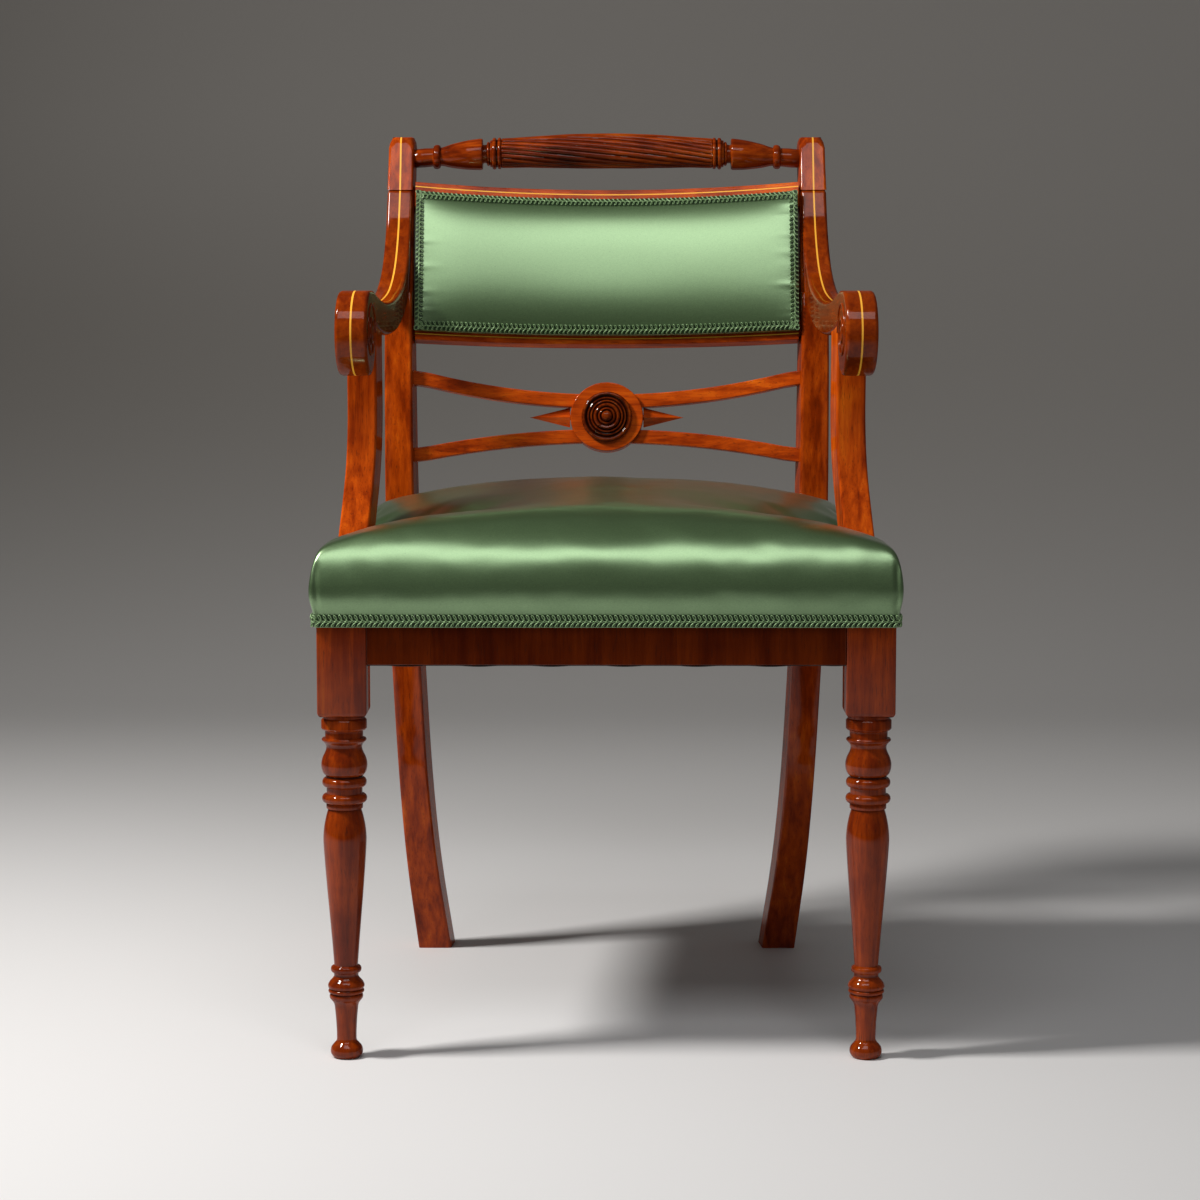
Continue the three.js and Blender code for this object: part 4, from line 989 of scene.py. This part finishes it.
gimp_silk = silk("silk_gimp", GIMP_DEEP, GIMP_LIT)
gimp_tape_painted_shade = silk("silk_gimp_tape_painted_shade", TAPE_SHADE_DARK, TAPE_SHADE_PALE)
loop_pitch = 4.7
points_per_loop = 14


class Route:
    """A line of corners, rounded off, that gives the place and heading at any distance along it."""

    def __init__(self, corners, rounding):
        points = []
        for index, corner in enumerate(corners):
            corner = Vector(corner)
            if 0 < index < len(corners) - 1:
                before = (Vector(corners[index - 1]) - corner).normalized() * rounding
                after = (Vector(corners[index + 1]) - corner).normalized() * rounding
                for bend in range(7):
                    t = bend / 6
                    points.append(corner + before * (1 - t) ** 2 + after * t ** 2)
            else:
                points.append(corner)
        self.points = points
        self.lengths = [0]
        for start, end in zip(points, points[1:]):
            self.lengths.append(self.lengths[-1] + (end - start).length)
        self.length = self.lengths[-1]

    def at(self, distance):
        distance = min(max(distance, 0), self.length)
        index = 0
        while index < len(self.points) - 2 and self.lengths[index + 1] < distance:
            index += 1
        start, end = self.points[index], self.points[index + 1]
        heading = (end - start).normalized()
        return start + heading * (distance - self.lengths[index]), heading


def braid(name, length, place, cords, nodes, thickness, tape):
    """Braids cords over a tape. place(along, rise, out) gives a point from its way along, up and
    out, and each cord has its centre, its swing along, its reach up and down, its slant and its
    lift off the tape, in millimetres."""
    loops = round(length / loop_pitch)
    lines = bpy.data.curves.new(name, "CURVE")
    lines.dimensions = "3D"
    lines.bevel_depth = thickness * mm
    lines.bevel_resolution = 1
    lines.use_fill_caps = True
    for centre, swing, reach, slant, lift in cords:
        cord = lines.splines.new("POLY")
        cord.points.add(loops * points_per_loop)
        for index, point in enumerate(cord.points):
            turn = math.tau * index / points_per_loop
            rise = -reach * math.cos(turn)
            along = (length * index / (loops * points_per_loop) - swing * math.sin(turn)
                     + slant * rise)
            out = lift + 0.55 * math.sin(turn) + thickness
            point.co = (*place(min(max(along, 0), length), centre + rise, out), 1)
    gimp = bmesh.new()
    add_curve(gimp, lines)
    cord_faces = len(gimp.faces)
    low, high = tape
    strip = spread(round(length / 6), 4, lambda u, v: place(
        length * (u + 1) / 2, low + (high - low) * (v + 1) / 2, 0.2))
    bmesh.ops.solidify(strip, geom=strip.faces[:], thickness=0.4 * mm)
    bmesh.ops.recalc_face_normals(strip, faces=strip.faces)
    ground = bpy.data.meshes.new("ground")
    strip.to_mesh(ground)
    strip.free()
    gimp.from_mesh(ground)
    bpy.data.meshes.remove(ground)
    gimp.faces.ensure_lookup_table()
    # The tape's faces take the near-black finish that paints shade between the cords.
    for face in gimp.faces[cord_faces:]:
        face.material_index = 1
    made = piece(name, gimp, gimp_silk, nodes, 60)
    made.data.materials.append(gimp_tape_painted_shade)
    return made


seat_route = Route([(-235.9, 141.2), (-265.4, -220.6), (-265.4, -268.7), (265.4, -268.7),
                    (265.4, -220.6), (235.9, 141.2)], 5)
gimp_low = 402.2


def on_hem(along, rise, out):
    point, heading = seat_route.at(along)
    outward = Vector((heading.y, -heading.x))
    spot = point + outward * out
    return spot.x * mm, spot.y * mm, (gimp_low + rise) * mm


braid("seat_braid", seat_route.length, on_hem, [
    (8.9, -2.15, 2.9, -0.45, 1.2), (3.2, 1.9, 2.4, 0.5, 1.0),
], ["seat_gimp"], 0.46, (0.8, 12.2))

# Dust cover. A sheet of black linen is cut round the legs and tacked under the rails, and sags a
# little between the tacks.
dust_black = jute("black_linen", (0.035, 0.032, 0.030), (0.012, 0.011, 0.010), 1100)
low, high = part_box("dust_cover")
dust_half_front, dust_half_rear = 254.0 * mm, 225.0 * mm
leg_inside = 217.0 * mm
leg_rear = -220.2 * mm


def dust_place(u, v):
    y = (low.y + high.y) / 2 + v * (high.y - low.y) / 2
    way = min(1, max(0, (y - leg_rear) / (high.y - leg_rear)))
    half = dust_half_front + (dust_half_rear - dust_half_front) * way - 0.5 * mm
    if y < leg_rear:
        half = leg_inside
    uneven = 0.75 + 0.5 * noise.noise(Vector((u * 3, v, 4)))
    sag = 3.5 * mm * (1 - u ** 8) * (1 - v ** 8) * uneven
    ripple = 0.9 * mm * math.sin(u * half * 95) * v ** 6 * (1 - u ** 10)
    return Vector((u * half, y, low.z + 0.6 * mm - max(0, sag + ripple)))


lining = thicken(piece("dust_lining", spread(90, 60, dust_place), dust_black,
                       ["dust_cover"], 60), 0.6 * mm)

# Back pad. The panel between the posts is stuffed thinly over its webbing and covered in the same
# satin, pulled tight to the posts so that short pleats run in from both sides.
back_half = 200.7 * mm
back_low, back_high = 659.4 * mm, 803.0 * mm


def back_point(x, height, depth):
    """A place on the bowed back, as its distance behind the posts' middle line."""
    above = height - 650 * mm
    post_middle = 188.47 * mm + 0.2441 * above + 0.396 * above * above
    tilt = math.atan(0.2441 + 0.792 * above)
    behind = bow * (1 - (x / bow_half) ** 2) + depth
    return Vector((x, post_middle + behind * math.cos(tilt), height - behind * math.sin(tilt)))


def back_front(u, v):
    """The depth of the pad's face, which swells forward from its four edges."""
    swell = ((1 - abs(u) ** 7) * (1 - abs(v) ** 4)) ** 0.8
    return -(18.6 + 10.5 * swell) * mm


def back_place(u, v):
    """Puts a point of the pad's face on the bowed back, with pleats that run in from the sides."""
    u, v = bunched(u, 0.6), bunched(v, 0.45)
    height = back_low + (back_high - back_low) * (v + 1) / 2
    x = u * back_half
    from_gimp = max(0, (back_half - abs(x)) / mm - 8)
    pleat = max(0, noise.noise(Vector((math.copysign(7, u), 0, height / (6.5 * mm)))))
    fade = max(0, 1 - from_gimp / 30) ** 2 * (1 - v ** 6)
    return back_point(x, height, back_front(u, v) - 1.1 * mm * pleat * fade)


back_panel_face = -11.93 * mm
back = bmesh.new()
bmesh.ops.create_grid(back, x_segments=110, y_segments=48, size=1)
raised = bmesh.ops.extrude_face_region(back, geom=back.faces[:], use_keep_orig=True)["geom"]
face_points = {part for part in raised if isinstance(part, bmesh.types.BMVert)}
for vert in back.verts:
    u, v = vert.co.x, vert.co.y
    if vert in face_points:
        vert.co = back_place(u, v)
    else:
        height = back_low + (back_high - back_low) * (bunched(v, 0.45) + 1) / 2
        vert.co = back_point(bunched(u, 0.6) * back_half, height, back_panel_face)
bmesh.ops.recalc_face_normals(back, faces=back.faces)
back.verts.index_update()
held = {vert.index for vert in back.verts if vert not in face_points
        or back_half - abs(vert.co.x) < 8.5 * mm or vert.co.z < 678 * mm or vert.co.z > 797 * mm}
back_pad = piece("stuffed_back", back, green_satin, ["back_cover", "back_stuffing"], 50)
blown(back_pad, held, 1.5 * mm, 0.7, 60)
fine = back_pad.modifiers.new("fine", "SUBSURF")
fine.levels = fine.render_levels = 1

# Back gimp. Four lengths of the same silk braid, a little narrower, frame the panel. They are glued
# and pinned over the tacks.
def on_back(across, up, out):
    """A point in front of the pad's face, by its way from the middle and from the lower edge."""
    u = max(-1, min(1, across / back_half))
    v = max(-1, min(1, 2 * (up - back_low) / (back_high - back_low) - 1))
    return back_point(across, up, back_front(u, v) - out)


back_run = 400.4


def across_back(edge, inward):
    return lambda along, rise, out: on_back((along - back_run / 2) * mm,
                                            edge + inward * rise * mm, out * mm)


def up_back(side):
    return lambda along, rise, out: on_back(side * (200.4 - rise) * mm, back_low + along * mm,
                                            out * mm)


back_cords = [(6.7, -1.9, 2.2, -0.4, 1.4), (2.5, 1.6, 1.8, 0.45, 1.2)]
back_height = (back_high - back_low) / mm
for name, length, place in (
    ("lower", back_run, across_back(back_low, 1)), ("upper", back_run, across_back(back_high, -1)),
    ("left", back_height, up_back(1)), ("right", back_height, up_back(-1)),
):
    braid(f"back_braid_{name}", length, place, back_cords, ["back_gimp"], 0.4, (0.6, 8.6))

# Outside back. A plain piece of the satin closes the panel from behind. It is turned in at its
# edges and sewn.
outside_half = 199.8 * mm
outside_depth = 11.27 * mm


def outside_place(u, v):
    height = back_low + (back_high - back_low) * (v + 1) / 2
    return back_point(u * outside_half, height, outside_depth)


outside = thicken(piece("outside_back", spread(60, 24, outside_place), green_satin,
                        ["outside_back_cover"], 60), 1.0 * mm)

# The studio. A pale floor runs up behind the chair into a warm grey backdrop. The backdrop is
# painted lighter towards the right, as painted light, and the floor is painted dark grey far in
# front of the chair, as painted shade. One large soft lamp hangs above and in front, one stands to
# the left, and the room gives back a little light.
floor_paint = Finish("studio_paper", {"Roughness": 0.55})
sideways, along_floor, up_wall = floor_paint.axes()
wall_share = floor_paint.node("MapRange", {"interpolation_type": "SMOOTHSTEP"},
                              {0: along_floor + up_wall * 1.6, 1: 0.2, 2: 4.2})
# Painted shade: the floor turns dark grey from about a metre in front of the chair, so the polish
# and satin give back a dark room in front.
painted_shade_front = floor_paint.node("MapRange", {"interpolation_type": "SMOOTHSTEP"},
                               {0: along_floor, 1: -1.1, 2: -2.6})
# Painted light: the backdrop's grey grows lighter from left to right.
painted_light_right = floor_paint.node("MapRange", {}, {0: sideways, 1: -1.6, 2: 1.8})
painted_light_wall_tone = floor_paint.blend(painted_light_right, (0.19, 0.178, 0.162, 1), (0.37, 0.355, 0.34, 1))
paper_tone = floor_paint.blend(wall_share, (0.80, 0.80, 0.81, 1), painted_light_wall_tone)
floor_paint.feed(floor_paint.shader, {
    "Base Color": floor_paint.blend(painted_shade_front, paper_tone, (0.22, 0.22, 0.22, 1)),
})
bend_start, bend_radius, wall_top, reach = 2.0, 1.2, 4.5, 7.0


def paper(u, v):
    run = (v + 1) / 2 * (reach + bend_start + bend_radius * math.pi / 2 + wall_top)
    level_run = reach + bend_start
    if run < level_run:
        return Vector((u * 6, run - reach, 0))
    turn = min((run - level_run) / bend_radius, math.pi / 2)
    rest = max(0, run - level_run - bend_radius * math.pi / 2)
    return Vector((u * 6, bend_start + bend_radius * math.sin(turn),
                   bend_radius * (1 - math.cos(turn)) + rest))


paper_sheet = spread(1, 120, paper)
if sum(face.normal.z for face in paper_sheet.faces) < 0:
    bmesh.ops.reverse_faces(paper_sheet, faces=paper_sheet.faces)
backdrop = formed("studio_paper", paper_sheet, floor_paint.material)


def lamp(name, place, aim, size, power, colour=(1, 1, 1)):
    light = bpy.data.lights.new(name, "AREA")
    light.shape = "RECTANGLE"
    light.size, light.size_y = size
    light.energy = power
    light.color = colour
    holder = bpy.data.objects.new(name, light)
    holder.location = place
    holder.rotation_euler = (Vector(aim) - Vector(place)).to_track_quat("-Z", "Y").to_euler()
    bpy.context.scene.collection.objects.link(holder)


lamp("left_lamp", (-1.45, -0.55, 2.05), (0, 0, 0.4), (0.35, 0.35), 58, (1, 0.97, 0.93))
lamp("high_lamp", (-0.1, -1.44, 2.25), (0, -0.1, 0.5), (1.6, 0.72), 13.6)
world = bpy.data.worlds.new("studio")
world.use_nodes = True
room = world.node_tree.nodes["Background"]
room.inputs["Color"].default_value = (0.09, 0.088, 0.085, 1)
bpy.context.scene.world = world
bpy.context.scene.view_settings.view_transform = "Standard"
